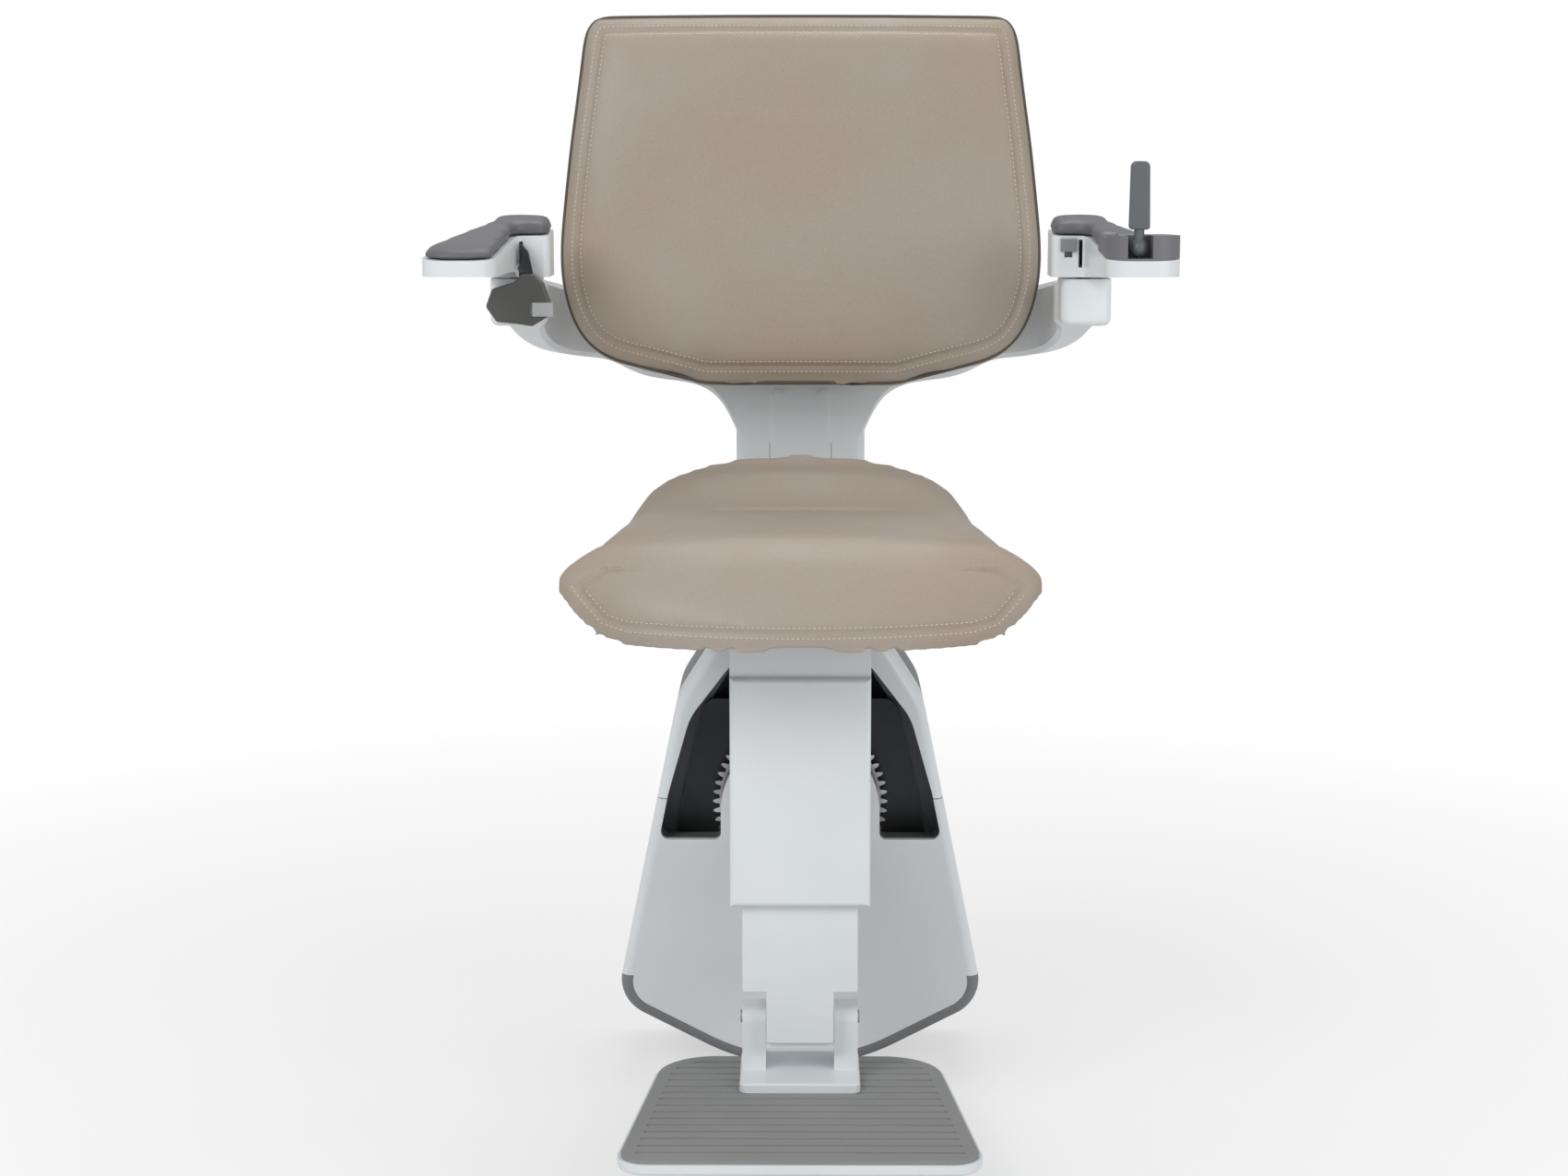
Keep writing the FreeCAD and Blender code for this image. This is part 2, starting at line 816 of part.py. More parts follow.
def shroud_front_solid(inset, edge):
    """The solid inside the front shells, drawn in by an inset, with its front edge rounded."""
    back = -s.chassis_offset
    solid = upright_ring(inset_wire(shroud_edges, inset), None, -s.shroud_front - 10, back)
    low = s.shroud_bottom - 20
    high = s.shroud_top + 20
    front = -s.shroud_front + inset
    foot = front + s.shroud_slope * (s.shroud_slope_start - low)
    profile = sideways(
        outline([(back, low, 0), (back, high, 0), (front, high, 0), (front, s.shroud_slope_start, 120), (foot, low, 0)]),
        -s.shroud_wide_half - 20, s.shroud_wide_half + 20,
    )
    solid = solid.common(profile)
    rim = [item for item in solid.Edges if item.BoundBox.YMax < back - 1 and item.Length > 3]
    rim = [item for item in rim if not along(X_AXIS)(item) or item.BoundBox.ZMin > s.shroud_top - 12]
    rim = [item for item in rim if item.BoundBox.XLength < s.shroud_wide_half * 1.9]
    return solid.makeFillet(edge, rim)


outer_front = shroud_front_solid(0, s.shroud_edge)
inner_front = shroud_front_solid(s.shroud_wall, s.shroud_edge - s.shroud_wall)
front_shell = outer_front.cut(inner_front)

slot_wire = inset_wire(slot_edges, 0)
slot_wall_wire = inset_wire(slot_edges, -s.shroud_wall)
slot_prism = upright_ring(slot_wire, None, -s.shroud_front - 1, -s.shroud_front + s.slot_depth * 2)
slot_return = upright_ring(
    slot_wall_wire, slot_wire, -s.shroud_front + s.shroud_wall, -s.shroud_front + s.slot_return
)
front_shell = front_shell.fuse(slot_return).cut(slot_prism).removeSplitter()

wide = s.shroud_wide_half * 2.4
tall = s.shroud_top * 2
upper_box = Part.makeBox(wide, wide, tall, Vector(-wide / 2, -wide, s.split_height + s.panel_gap / 2))
lower_box = Part.makeBox(wide, wide, tall, Vector(-wide / 2, -wide, s.split_height - s.panel_gap / 2 - tall))
island_column = Part.makeBox(
    s.island_radius * 2, wide, s.island_radius * 2, Vector(-s.island_radius, -wide, s.slot_bottom)
)
island_column = island_column.common(upright_ring(
    wire(circle(s.island_radius + 0.01, 0, s.level_height)), None, -wide, 0
).fuse(Part.makeBox(
    s.island_radius * 2, wide, s.island_radius * 2, Vector(-s.island_radius, -wide, s.slot_bottom - s.island_radius)
)))
island_column = island_column.common(Part.makeBox(
    wide, s.slot_depth, tall, Vector(-wide / 2, -s.shroud_front - 1, -s.shroud_top / 2)
))

band_region = upright_ring(
    inset_wire(shroud_edges, -1), inset_wire(shroud_edges, s.rim_band), -wide, 0
).common(Part.makeBox(wide, wide, tall, Vector(-wide / 2, -wide - s.band_back, s.band_top - tall)))

shroud_upper = front_shell.common(upper_box).cut(island_column)
shroud_lower = front_shell.common(lower_box.fuse(island_column)).cut(band_region)
feature("shroud_upper", shroud_upper)
feature("shroud_lower", shroud_lower)
feature("rim_band", front_shell.common(band_region))
feature("slot_liner", upright_ring(
    inset_wire(slot_edges, -s.liner_wall), slot_wire,
    -s.shroud_front + s.slot_return, arm_front_face - s.panel_gap,
))

# Shroud: the grey back shell, open to the rail, with a flange behind the chassis plate

back_start = -s.chassis_offset
rear_walls = upright_ring(inset_wire(shroud_edges, 0), inset_wire(shroud_edges, s.shroud_wall), back_start, s.rear_depth)
rear_panel = upright_ring(
    inset_wire(shroud_edges, 1), None, s.rear_depth - s.shroud_wall, s.rear_depth
).common(Part.makeBox(wide, wide, tall, Vector(-wide / 2, -wide / 2, s.battery_base - s.shroud_wall)))
flange = upright_ring(
    inset_wire(shroud_edges, 1), inset_wire(shroud_edges, s.rear_flange), back_start, back_start + s.shroud_wall
)
gearbox_space = Part.makeBox(
    s.gearbox_width + 2, wide, s.gearbox_height * 2,
    Vector(-s.gearbox_width / 2 - 1, -wide / 2, pinion_height - s.gearbox_height * 1.5),
)
rail_passage = Part.makeBox(
    wide, wide, s.rail_notch, Vector(-wide / 2, back_start + s.shroud_edge, -s.rail_notch / 2)
)
roller_windows = [
    Part.makeCylinder(
        roller_height - s.rail_radius + s.window_margin, wide,
        Vector(side * s.roller_pitch / 2, back_start - 1, level * roller_height), Y_AXIS,
    )
    for side in SIDES.values() for level in (-1, 1)
]
contact_windows = [
    Part.makeBox(
        s.contact_width + 4, s.contact_thickness + 2, s.contact_height + 4,
        Vector(side * s.contact_place - s.contact_width / 2 - 2, back_start - 1, -s.contact_drop - 2),
    )
    for side in SIDES.values()
]
rear_cover = rear_walls.fuse([rear_panel, flange.cut(gearbox_space)])
feature("rear_cover", rear_cover.cut([rail_passage] + roller_windows + contact_windows))

# Carriage: charging contacts behind the chassis plate

contact_blocks = [
    block(
        f"contact_{side_name}",
        (f"{side} * contact_place - contact_width / 2", "-chassis_offset", "-contact_drop"),
        (f"{side} * contact_place + contact_width / 2", "-chassis_offset + contact_thickness",
         "-contact_drop + contact_height"),
    )
    for side_name, side in SIDES.items()
]
charge_contacts = group("charge_contacts", *contact_blocks)


# Leveller: ring gear, swivel bracket and bush

ring_bore = s.hub_radius + s.fit_gap
ring_teeth_outline = gear(s.ring_teeth, s.ring_module)
level_ring = upright(ring_teeth_outline, ring_front, ring_front + s.gear_width, [circle(ring_bore)])
level_ring.translate(Vector(0, 0, s.level_height))
feature("level_ring", level_ring)

neck_low = s.level_height + s.neck_inner
neck_middle = neck_low + s.neck_height / 2
boss_low = neck_middle - s.boss_height / 2
boss_high = boss_low + s.boss_height
lever_points = mirrored([
    (s.hub_flange_radius, s.level_height - s.hub_flange_radius, s.hub_flange_radius * 0.9),
    (s.hub_flange_radius, s.level_height + s.hub_flange_radius, 20),
    (s.neck_width / 2, s.level_height + s.hub_flange_radius * 1.5, 20),
    (s.neck_width / 2, neck_low + s.neck_height, 3),
])
lever = upright(
    outline(lever_points), arm_front_face, ring_front, [circle(ring_bore, 0, s.level_height)]
)
neck = Part.makeBox(
    s.neck_width, s.swivel_reach + arm_front_face, s.neck_height,
    Vector(-s.neck_width / 2, -s.swivel_reach, neck_low),
)
boss = Part.makeCylinder(s.boss_radius, s.boss_height, Vector(0, -s.swivel_reach, boss_low))
bush_radius = s.spindle_radius + s.fit_gap + s.bush_wall
boss_bore = Part.makeCylinder(bush_radius, s.boss_height + 2, Vector(0, -s.swivel_reach, boss_low - 1))
feature("level_bracket", lever.fuse([neck, boss]).removeSplitter().cut(boss_bore))

bush = Part.makeCylinder(bush_radius, s.boss_height, Vector(0, -s.swivel_reach, boss_low))
bush_collar = Part.makeCylinder(s.boss_radius - 4, s.bush_flange, Vector(0, -s.swivel_reach, boss_high))
bush_bore = Part.makeCylinder(
    s.spindle_radius + s.fit_gap, s.boss_height + s.bush_flange * 2, Vector(0, -s.swivel_reach, boss_low - 1)
)
feature("swivel_bush", bush.fuse(bush_collar).cut(bush_bore))


# Chair: spindle, seat base and upper column

SPINDLE_LOW = "(level_height + neck_inner + neck_height / 2 - boss_height / 2 - spindle_nut_thickness - running_gap)"
spindle_shank = rod(
    "spindle_shank", "z", "spindle_radius", f"base_height - {SPINDLE_LOW}", ("0", "-swivel_reach", SPINDLE_LOW)
)
spindle_flange = rod(
    "spindle_flange", "z", "spindle_flange_radius", "spindle_flange_thickness",
    ("0", "-swivel_reach", "base_height - spindle_flange_thickness"),
)
spindle_nut = rod(
    "spindle_nut", "z", "spindle_nut_radius", "spindle_nut_thickness", ("0", "-swivel_reach", SPINDLE_LOW)
)
spindle_sleeve = rod(
    "spindle_sleeve", "z", "spindle_radius + bush_wall",
    f"base_height - {SPINDLE_LOW} - spindle_nut_thickness - 2 * running_gap - boss_height - bush_flange",
    ("0", "-swivel_reach", f"{SPINDLE_LOW} + spindle_nut_thickness + 2 * running_gap + boss_height + bush_flange"),
)
spindle = join("spindle", spindle_shank, spindle_flange, spindle_nut, spindle_sleeve)

base_half = s.base_width / 2
seat_base_body = flat(
    outline([
        (-base_half, -s.base_front, s.base_corner),
        (base_half, -s.base_front, s.base_corner),
        (base_half, s.base_back - s.base_corner, s.base_corner),
        (s.stem_width / 2, s.base_back, 0),
        (-s.stem_width / 2, s.base_back, 0),
        (-base_half, s.base_back - s.base_corner, s.base_corner),
    ]),
    s.base_height, s.base_height + s.base_thickness,
)
base_top = s.base_height + s.base_thickness
pan_low = s.seat_underside - s.pan_thickness
seat_ears = []
for side in SIDES.values():
    ear_left = side * s.seat_ear_offset - s.seat_ear_thickness / 2
    ear = sideways(
        outline([
            (-s.seat_fold_reach - 22, base_top - 1, 0),
            (-s.seat_fold_reach + 22, base_top - 1, 0),
            (-s.seat_fold_reach + 12, s.seat_fold_height + 12, 11),
            (-s.seat_fold_reach - 12, s.seat_fold_height + 12, 11),
        ]),
        ear_left, ear_left + s.seat_ear_thickness,
        [circle(s.seat_pin_radius, -s.seat_fold_reach, s.seat_fold_height)],
    )
    seat_ears.append(ear)
seat_stops = [
    Part.makeCylinder(
        s.seat_pin_radius * 2, pan_low - s.running_gap - base_top,
        Vector(side * s.seat_ear_offset, -s.base_front + s.base_corner + 4, base_top),
    )
    for side in SIDES.values()
]
feature("seat_base", seat_base_body.fuse(seat_ears + seat_stops))

seat_pins = [
    rod(
        f"seat_pin_{side_name}", "x", "seat_pin_radius", "seat_ear_thickness * 3 + 2 * running_gap",
        (f"{side} * seat_ear_offset - seat_ear_thickness * 1.5 - running_gap", "-seat_fold_reach", "seat_fold_height"),
    )
    for side_name, side in SIDES.items()
]
seat_hinge_pins = group("seat_hinge_pins", *seat_pins)

# The upper column: a channel open to the rear, deep below the bracket and shallow beside it

column_half = s.column_width / 2
column_face = -s.column_front + s.column_cover_thickness
column_rear = column_face + s.column_depth
column_lug_rear = column_face + s.column_lug
channel_profile = outline([
    (column_face, s.column_low, 0),
    (column_rear, s.column_low, 0),
    (column_rear, s.column_side_step, 6),
    (column_lug_rear, s.column_side_step, 4),
    (column_lug_rear, s.base_height, 0),
    (column_face, s.base_height, 0),
])
channel = sideways(channel_profile, -column_half, column_half)
channel_hollow = Part.makeBox(
    s.column_width - 2 * s.column_wall, s.column_depth * 2, s.base_height,
    Vector(-column_half + s.column_wall, column_face + s.column_wall, s.column_low - 1),
)
feature("column_channel", channel.cut(channel_hollow))

cover_face = -s.column_front
cover = Part.makeBox(
    s.column_width, s.column_cover_thickness, s.column_cover_top - s.column_low,
    Vector(-column_half, cover_face, s.column_low),
)
cover_rims = [item for item in cover.Edges if item.BoundBox.YMax < cover_face + 0.1]
feature("column_cover", cover.makeFillet(s.column_cover_edge, cover_rims))

# Column: the inner column that slides in the upper one and carries the footrest

inner_half = s.inner_width / 2
foot_half = s.inner_foot_width / 2
inner_face = column_face + s.column_wall + s.slide_gap + s.inner_cover_thickness
inner_rear = inner_face + s.inner_depth
guide_rear = inner_face + s.column_lug - s.inner_wall * 3
pin_y = -s.footrest_pin_reach
pin_z = s.footrest_top + s.footrest_pin_height
inner_channel = sideways(
    outline([
        (inner_face, s.inner_notch, 0),
        (inner_rear, s.inner_notch, 0),
        (inner_rear, s.inner_back_top, 6),
        (guide_rear, s.inner_back_top, 4),
        (guide_rear, s.inner_guide_top, 0),
        (inner_face, s.inner_guide_top, 0),
    ]),
    -inner_half, inner_half,
)
channel_space = Part.makeBox(
    s.inner_width - 2 * s.inner_wall, s.inner_depth * 2, s.inner_guide_top,
    Vector(-inner_half + s.inner_wall, inner_face + s.inner_wall, s.inner_notch + s.inner_wall),
)
guide_space = Part.makeBox(
    s.inner_width - 2 * s.inner_wall, s.inner_depth * 2, s.inner_guide_top,
    Vector(-inner_half + s.inner_wall, inner_face - 1, s.inner_back_top),
)
inner_foot = sideways(
    outline([
        (inner_face, s.inner_low, 3),
        (inner_rear, s.inner_low, 10),
        (inner_rear, s.inner_notch + s.inner_wall, 0),
        (inner_face, s.inner_notch + s.inner_wall, 0),
    ]),
    -foot_half, foot_half, [circle(s.footrest_pin_radius, pin_y, pin_z)],
)
feature("inner_column", inner_channel.cut([channel_space, guide_space]).fuse(inner_foot).removeSplitter())

inner_cover = upright(
    outline(mirrored([
        (foot_half, s.inner_cover_low, 3),
        (foot_half, s.inner_notch, 0),
        (inner_half, s.inner_notch, 2),
        (inner_half, s.inner_cover_top, 2),
    ])),
    inner_face - s.inner_cover_thickness, inner_face,
)
inner_rims = [item for item in inner_cover.Edges if item.BoundBox.YMax < inner_face - s.inner_cover_thickness + 0.1]
feature("inner_column_cover", inner_cover.makeFillet(1.5, inner_rims))

pad_out = column_half - s.column_wall - s.slide_gap
slide_pieces = []
for side in SIDES.values():
    for front, back, low in (
        (inner_face + 4, inner_rear - 4, s.column_low + 4),
        (inner_face + 1, guide_rear - 1, s.inner_guide_top - s.pad_length),
    ):
        left = min(side * inner_half, side * pad_out)
        slide_pieces.append(Part.makeBox(
            pad_out - inner_half, back - front, s.pad_length, Vector(left, front, low)
        ))
feature("slide_pads", Part.makeCompound(slide_pieces))

footrest_pin = rod(
    "footrest_pin", "x", "footrest_pin_radius", "2 * tray_half",
    ("-tray_half", "-footrest_pin_reach", "footrest_top + footrest_pin_height"),
)


# Footrest: plate, ribbed mat and the tray with its two ears

def footrest_outline(inset):
    return inset_wire(outline(mirrored([
        (s.footrest_front_half, -s.footrest_front, s.footrest_front_corner),
        (s.footrest_back_half, -s.footrest_back, s.footrest_back_corner),
    ])), inset)


plate_top = s.footrest_top - s.mat_thickness
footrest_plate = Part.Face(footrest_outline(0)).extrude(Vector(0, 0, s.footrest_thickness))
footrest_plate.translate(Vector(0, 0, plate_top - s.footrest_thickness))
plate_rims = [item for item in footrest_plate.Edges if item.BoundBox.ZMax < plate_top - 1]
feature("footrest_plate", footrest_plate.makeFillet(s.footrest_thickness * 0.35, plate_rims))

footrest_mat = Part.Face(footrest_outline(s.mat_thickness)).extrude(Vector(0, 0, s.mat_thickness))
footrest_mat.translate(Vector(0, 0, plate_top))
groove_area = Part.Face(footrest_outline(s.mat_thickness + s.mat_border)).extrude(Vector(0, 0, s.mat_thickness * 2))
groove_area.translate(Vector(0, 0, s.footrest_top - s.mat_rib_depth))
groove_pitch = (s.footrest_front - s.footrest_back - 2 * s.mat_border - s.mat_thickness) / s.mat_ribs
grooves = [
    Part.makeBox(
        s.footrest_front_half * 2, groove_pitch * 0.3, s.mat_thickness * 2,
        Vector(
            -s.footrest_front_half,
            -s.footrest_front + s.mat_border + s.mat_thickness + groove_pitch * (number + 0.35),
            s.footrest_top - s.mat_rib_depth,
        ),
    )
    for number in range(int(s.mat_ribs))
]
tray_back = -s.footrest_back - s.mat_border
feature("footrest_mat", footrest_mat.cut(groove_area.common(Part.makeCompound(grooves))))

tray = flat(
    outline([
        (-s.tray_half, -s.tray_front, 8),
        (s.tray_half, -s.tray_front, 8),
        (s.tray_half, tray_back, 8),
        (-s.tray_half, tray_back, 8),
    ]),
    s.footrest_top, s.footrest_top + s.tray_height,
)
tray_rims = [item for item in tray.Edges if item.BoundBox.ZMin > s.footrest_top + s.tray_height - 0.1]
tray = tray.makeFillet(2.5, tray_rims)
ears = []
for side in SIDES.values():
    ear_inner = foot_half + s.slide_gap
    ear_left = min(side * ear_inner, side * (ear_inner + s.ear_thickness))
    ears.append(sideways(
        outline([
            (pin_y - s.ear_depth / 2, s.footrest_top + 1, 0),
            (pin_y + s.ear_depth / 2, s.footrest_top + 1, 0),
            (pin_y + s.ear_depth / 2, s.footrest_top + s.ear_height, 12),
            (pin_y - s.ear_depth / 2, s.footrest_top + s.ear_height, 12),
        ]),
        ear_left, ear_left + s.ear_thickness,
        [circle(s.footrest_pin_radius + s.fit_gap, pin_y, pin_z)],
    ))
feature("footrest_bracket", tray.fuse(ears))


# Seat: the pad is lofted front to back through crowned sections with drawn-in sides

CROWN_PLACES = ((0.94, 0.66), (0.8, 0.4), (0.5, 0.14))


def seat_pad_section(depth, half, low, low_side, high, high_side):
    """One upright section: a bottom, two drawn-in sides and a crowned top."""
    y = -s.seat_front + depth
    tuck = (high_side - low_side) * 0.2
    reach = half - tuck
    middle_side = (low_side + high_side) / 2
    left_low = Vector(-reach, y, low_side)
    right_low = Vector(reach, y, low_side)
    right_high = Vector(reach, y, high_side)
    left_high = Vector(-reach, y, high_side)
    rise = high - high_side
    right_crown = [Vector(reach * share, y, high - rise * drop) for share, drop in CROWN_PLACES]
    left_crown = [Vector(-place.x, y, place.z) for place in reversed(right_crown)]
    top = Part.BSplineCurve()
    top.interpolate([right_high] + right_crown + [Vector(0, y, high)] + left_crown + [left_high])
    return Part.Wire([
        Part.Arc(left_low, Vector(0, y, low), right_low).toShape(),
        Part.Arc(right_low, Vector(half, y, middle_side), right_high).toShape(),
        top.toShape(),
        Part.Arc(left_high, Vector(-half, y, middle_side), left_low).toShape(),
    ])


bow_radius = (s.seat_half ** 2 + s.seat_front_bow ** 2) / (2 * s.seat_front_bow)
seat_length = s.seat_front - s.seat_back


def seat_half_at(depth):
    """Half the pad's width at a depth behind its front lip."""
    if depth < s.seat_front_bow:
        return math.sqrt(2 * bow_radius * depth - depth ** 2)
    if depth < s.seat_waist_depth:
        share = (depth - s.seat_front_bow) / (s.seat_waist_depth - s.seat_front_bow)
        return s.seat_half + (s.seat_waist_half - s.seat_half) * share
    share = (depth - s.seat_waist_depth) / (seat_length - s.seat_waist_depth)
    return s.seat_waist_half + (s.seat_rear_half - s.seat_waist_half) * share


def tip_share_at(depth):
    """How near the pad's edge at a depth is to the two front corners, where the lip turns up."""
    return min(1, seat_half_at(depth) / s.seat_half) ** 10 if depth < s.seat_front_bow else 1


def seat_side_top_at(depth):
    """The pad's top along its side edges: the lip, the front corners, then a rise to the waist."""
    if depth < s.seat_front_bow:
        return s.seat_lip_top + (s.seat_tip_top - s.seat_lip_top) * tip_share_at(depth)
    share = min(1, (depth - s.seat_front_bow) / (s.seat_waist_depth - s.seat_front_bow))
    return s.seat_tip_top + (s.seat_side_top - s.seat_tip_top) * share


def seat_top_at(depth):
    """The pad's top on its centre line: waterfall, sitting surface, then the rear upturn."""
    if depth < s.seat_waterfall:
        rise = math.sin(math.pi / 2 * depth / s.seat_waterfall)
        return s.seat_lip_top + (s.seat_surface - s.seat_lip_top) * rise
    start = seat_length - s.seat_upturn
    if depth < start:
        return s.seat_surface
    share = (depth - start) / s.seat_upturn
    return s.seat_surface + (s.seat_rear_top - s.seat_surface) * share ** 1.6


seat_sections = []
for depth in (0.6, 3.5, 10, 22, 38, 58, 84, 114, 165, 225):
    lip_side = s.seat_lip_low + (s.seat_tip_height - s.seat_lip_low) * tip_share_at(depth)
    seat_sections.append(seat_pad_section(
        depth, seat_half_at(depth), min(s.seat_underside, s.seat_lip_low + depth * 1.3) + 0.5,
        min(s.seat_underside, lip_side), seat_top_at(depth), seat_side_top_at(depth),
    ))
for share, narrow in ((0, 0), (0.45, 0), (0.8, 2), (1, 10)):
    depth = seat_length - s.seat_upturn * (1 - share)
    low = s.seat_underside + 40 * max(0, share - 0.45) ** 1.5
    seat_sections.append(seat_pad_section(
        depth, seat_half_at(depth) - narrow, low + 0.5, low, seat_top_at(depth), seat_side_top_at(depth) + 2 * share
    ))
flat_start = s.seat_waterfall * s.flat_share
board_space = Part.makeBox(
    s.seat_half * 3, s.seat_front, s.seat_underside, Vector(-s.seat_half * 1.5, -s.seat_front + flat_start, 0)
)
feature("seat_pad", loft(seat_sections).cut(board_space))

pan_half = s.seat_half - s.pan_inset * 2
pan_rear_half = s.seat_rear_half - s.pan_inset
pan = flat(
    outline([
        (-pan_half, -s.seat_front + s.seat_front_bow, 40),
        (0, -s.seat_front + s.seat_front_bow * 0.93, 400),
        (pan_half, -s.seat_front + s.seat_front_bow, 40),
        (pan_rear_half, -s.seat_back - s.seat_play, 18),
        (-pan_rear_half, -s.seat_back - s.seat_play, 18),
    ]),
    pan_low, s.seat_underside - s.soft_gap,
)
pan_lugs = []
for side in SIDES.values():
    for place_of_lug in (-1, 1):
        middle = side * s.seat_ear_offset + place_of_lug * (s.seat_ear_thickness + s.running_gap)
        pan_lugs.append(sideways(
            outline([
                (-s.seat_fold_reach - 16, pan_low + 1, 0),
                (-s.seat_fold_reach + 16, pan_low + 1, 0),
                (-s.seat_fold_reach + 11, s.seat_fold_height - 12, 10),
                (-s.seat_fold_reach - 11, s.seat_fold_height - 12, 10),
            ]),
            middle - s.seat_ear_thickness / 2, middle + s.seat_ear_thickness / 2,
            [circle(s.seat_pin_radius + s.fit_gap, -s.seat_fold_reach, s.seat_fold_height)],
        ))
feature("seat_pan", pan.fuse(pan_lugs))


# Back frame: the stem and the two swept arms that end in posts

stem = Part.makeBox(
    s.stem_width, s.stem_thickness, s.stem_top - base_top, Vector(-s.stem_width / 2, s.stem_front, base_top)
)
stem_rims = [item for item in stem.Edges if along(Z_AXIS)(item)]
stem = stem.makeFillet(s.stem_corner, stem_rims)
stem_middle = s.stem_front + s.stem_thickness / 2
post_middle = s.post_inner + s.post_width / 2


def arm_section(x, y, low, high, heading, thickness):
    """One upright section of a back frame arm, square to its heading in plan."""
    angle = math.radians(heading)
    across = Vector(-math.sin(angle), math.cos(angle), 0)
    centre = Vector(x, y, 0)
    half = thickness / 2
    corners = [
        (-half, low + 5), (-half + 5, low), (half - 5, low), (half, low + 5),
        (half, high - 5), (half - 5, high), (-half + 5, high), (-half, high - 5),
    ]
    places = [centre + across * a + Vector(0, 0, up) for a, up in corners]
    return Part.makePolygon(places + [places[0]])


frame_rise = s.post_top - s.stem_top
tube = s.arm_tube_thickness
arm_sections = [
    arm_section(27, stem_middle, s.stem_top - 105, s.stem_top - 2, 0, tube),
    arm_section(64, stem_middle, s.stem_top - 92, s.stem_top - 1, 0, tube),
    arm_section(85, stem_middle, s.stem_top - 56, s.stem_top + frame_rise * 0.2, 0, tube),
    arm_section(118, stem_middle, s.stem_top - 41, s.stem_top + frame_rise * 0.39, 0, tube),
    arm_section(post_middle - 76, stem_middle, s.stem_top - 20, s.stem_top + frame_rise * 0.61, -8, tube),
    arm_section(post_middle - 28, stem_middle - 15, s.stem_top - 12, s.stem_top + frame_rise * 0.78, -35, tube),
    arm_section(post_middle - 3, stem_middle - 49, s.post_low - 25, s.post_top - 8, -65, s.arm_tube_thickness + 2),
    arm_section(post_middle, stem_middle - 98, s.post_low - 8, s.post_top - 4, -90, s.arm_tube_thickness + 8),
    arm_section(post_middle, -s.post_front + s.post_depth - 2, s.post_low, s.post_top - 1, -90, s.post_width - 5),
]
swept_arm = loft(arm_sections)
post = flat(
    outline([
        (s.post_inner, -s.post_front, s.post_corner),
        (s.post_inner + s.post_width, -s.post_front, s.post_corner),
        (s.post_inner + s.post_width, -s.post_front + s.post_depth, s.post_corner),
        (s.post_inner, -s.post_front + s.post_depth, s.post_corner),
    ]),
    s.post_low, s.post_top,
)
post_foot = [item for item in post.Edges if item.BoundBox.ZMax < s.post_low + 0.1]
post = post.makeFillet(s.post_corner * 0.7, post_foot)
lug_round = s.arm_pin_height - s.post_top - 4
lug_profile = outline([
    (-s.arm_pin_reach - lug_round, s.post_top - 1, 0),
    (-s.arm_pin_reach + lug_round * 0.8, s.post_top - 1, 0),
    (-s.arm_pin_reach + lug_round * 0.8, s.arm_pin_height + lug_round * 0.8, lug_round * 0.7),
    (-s.arm_pin_reach - lug_round * 0.8, s.arm_pin_height + lug_round * 0.8, lug_round * 0.7),
])
post_lug = sideways(
    lug_profile, post_middle - s.arm_lug_thickness / 2, post_middle + s.arm_lug_thickness / 2,
    [circle(s.arm_pin_radius, -s.arm_pin_reach, s.arm_pin_height)],
)
right_arm_frame = swept_arm.fuse([post, post_lug])
left_arm_frame = right_arm_frame.mirror(Vector(), X_AXIS)
hatch_pocket = Part.makeBox(
    s.hatch_width + 1, s.hatch_thickness, s.hatch_high - s.hatch_low + 1,
    Vector(-s.hatch_width / 2 - 0.5, s.stem_front, s.hatch_low - 0.5),
)
back_frame = stem.fuse([right_arm_frame, left_arm_frame]).cut(hatch_pocket)
feature("back_frame", back_frame)

hatch = upright(
    outline([
        (-s.hatch_width / 2, s.hatch_low, 6),
        (s.hatch_width / 2, s.hatch_low, 6),
        (s.hatch_width / 2, s.hatch_high, 6),
        (-s.hatch_width / 2, s.hatch_high, 6),
    ]),
    s.stem_front, s.stem_front + s.hatch_thickness,
)
feature("stem_hatch", hatch)

pin_length = "post_width - 4"
arm_pins = [
    rod(
        f"arm_pin_{side_name}", "x", "arm_pin_radius", pin_length,
        (f"{side} * (post_inner + post_width / 2) - ({pin_length}) / 2", "-arm_pin_reach", "arm_pin_height"),
    )
    for side_name, side in SIDES.items()
]
arm_hinge_pins = group("arm_hinge_pins", *arm_pins)


# Backrest: built upright, then leaned back about its lower edge

def lean(shape):
    """Lean a shape back about the backrest's lower front edge."""
    shape.rotate(Vector(0, -s.backrest_front, s.backrest_low), X_AXIS, -s.backrest_lean)
    return shape


backrest_height = s.backrest_high - s.backrest_low


def backrest_section(share, half, front_inset, back_inset):
    """One level section: crowned front, drawn-in sides and a nearly flat back."""
    z = s.backrest_low + backrest_height * share
    front = -s.backrest_front + front_inset
    back = -s.backrest_front + s.backrest_thickness - back_inset
    deep = (back - front) * 0.2
    crown = s.backrest_crown * min(1, half / s.backrest_half)
    return Part.Wire([
        Part.Arc(Vector(-half + deep, front, z), Vector(0, front - crown, z), Vector(half - deep, front, z)).toShape(),
        Part.Arc(Vector(half - deep, front, z), Vector(half, (front + back) / 2, z),
                 Vector(half - deep, back, z)).toShape(),
        Part.makeLine(Vector(half - deep, back, z), Vector(-half + deep, back, z)),
        Part.Arc(Vector(-half + deep, back, z), Vector(-half, (front + back) / 2, z),
                 Vector(-half + deep, front, z)).toShape(),
    ])


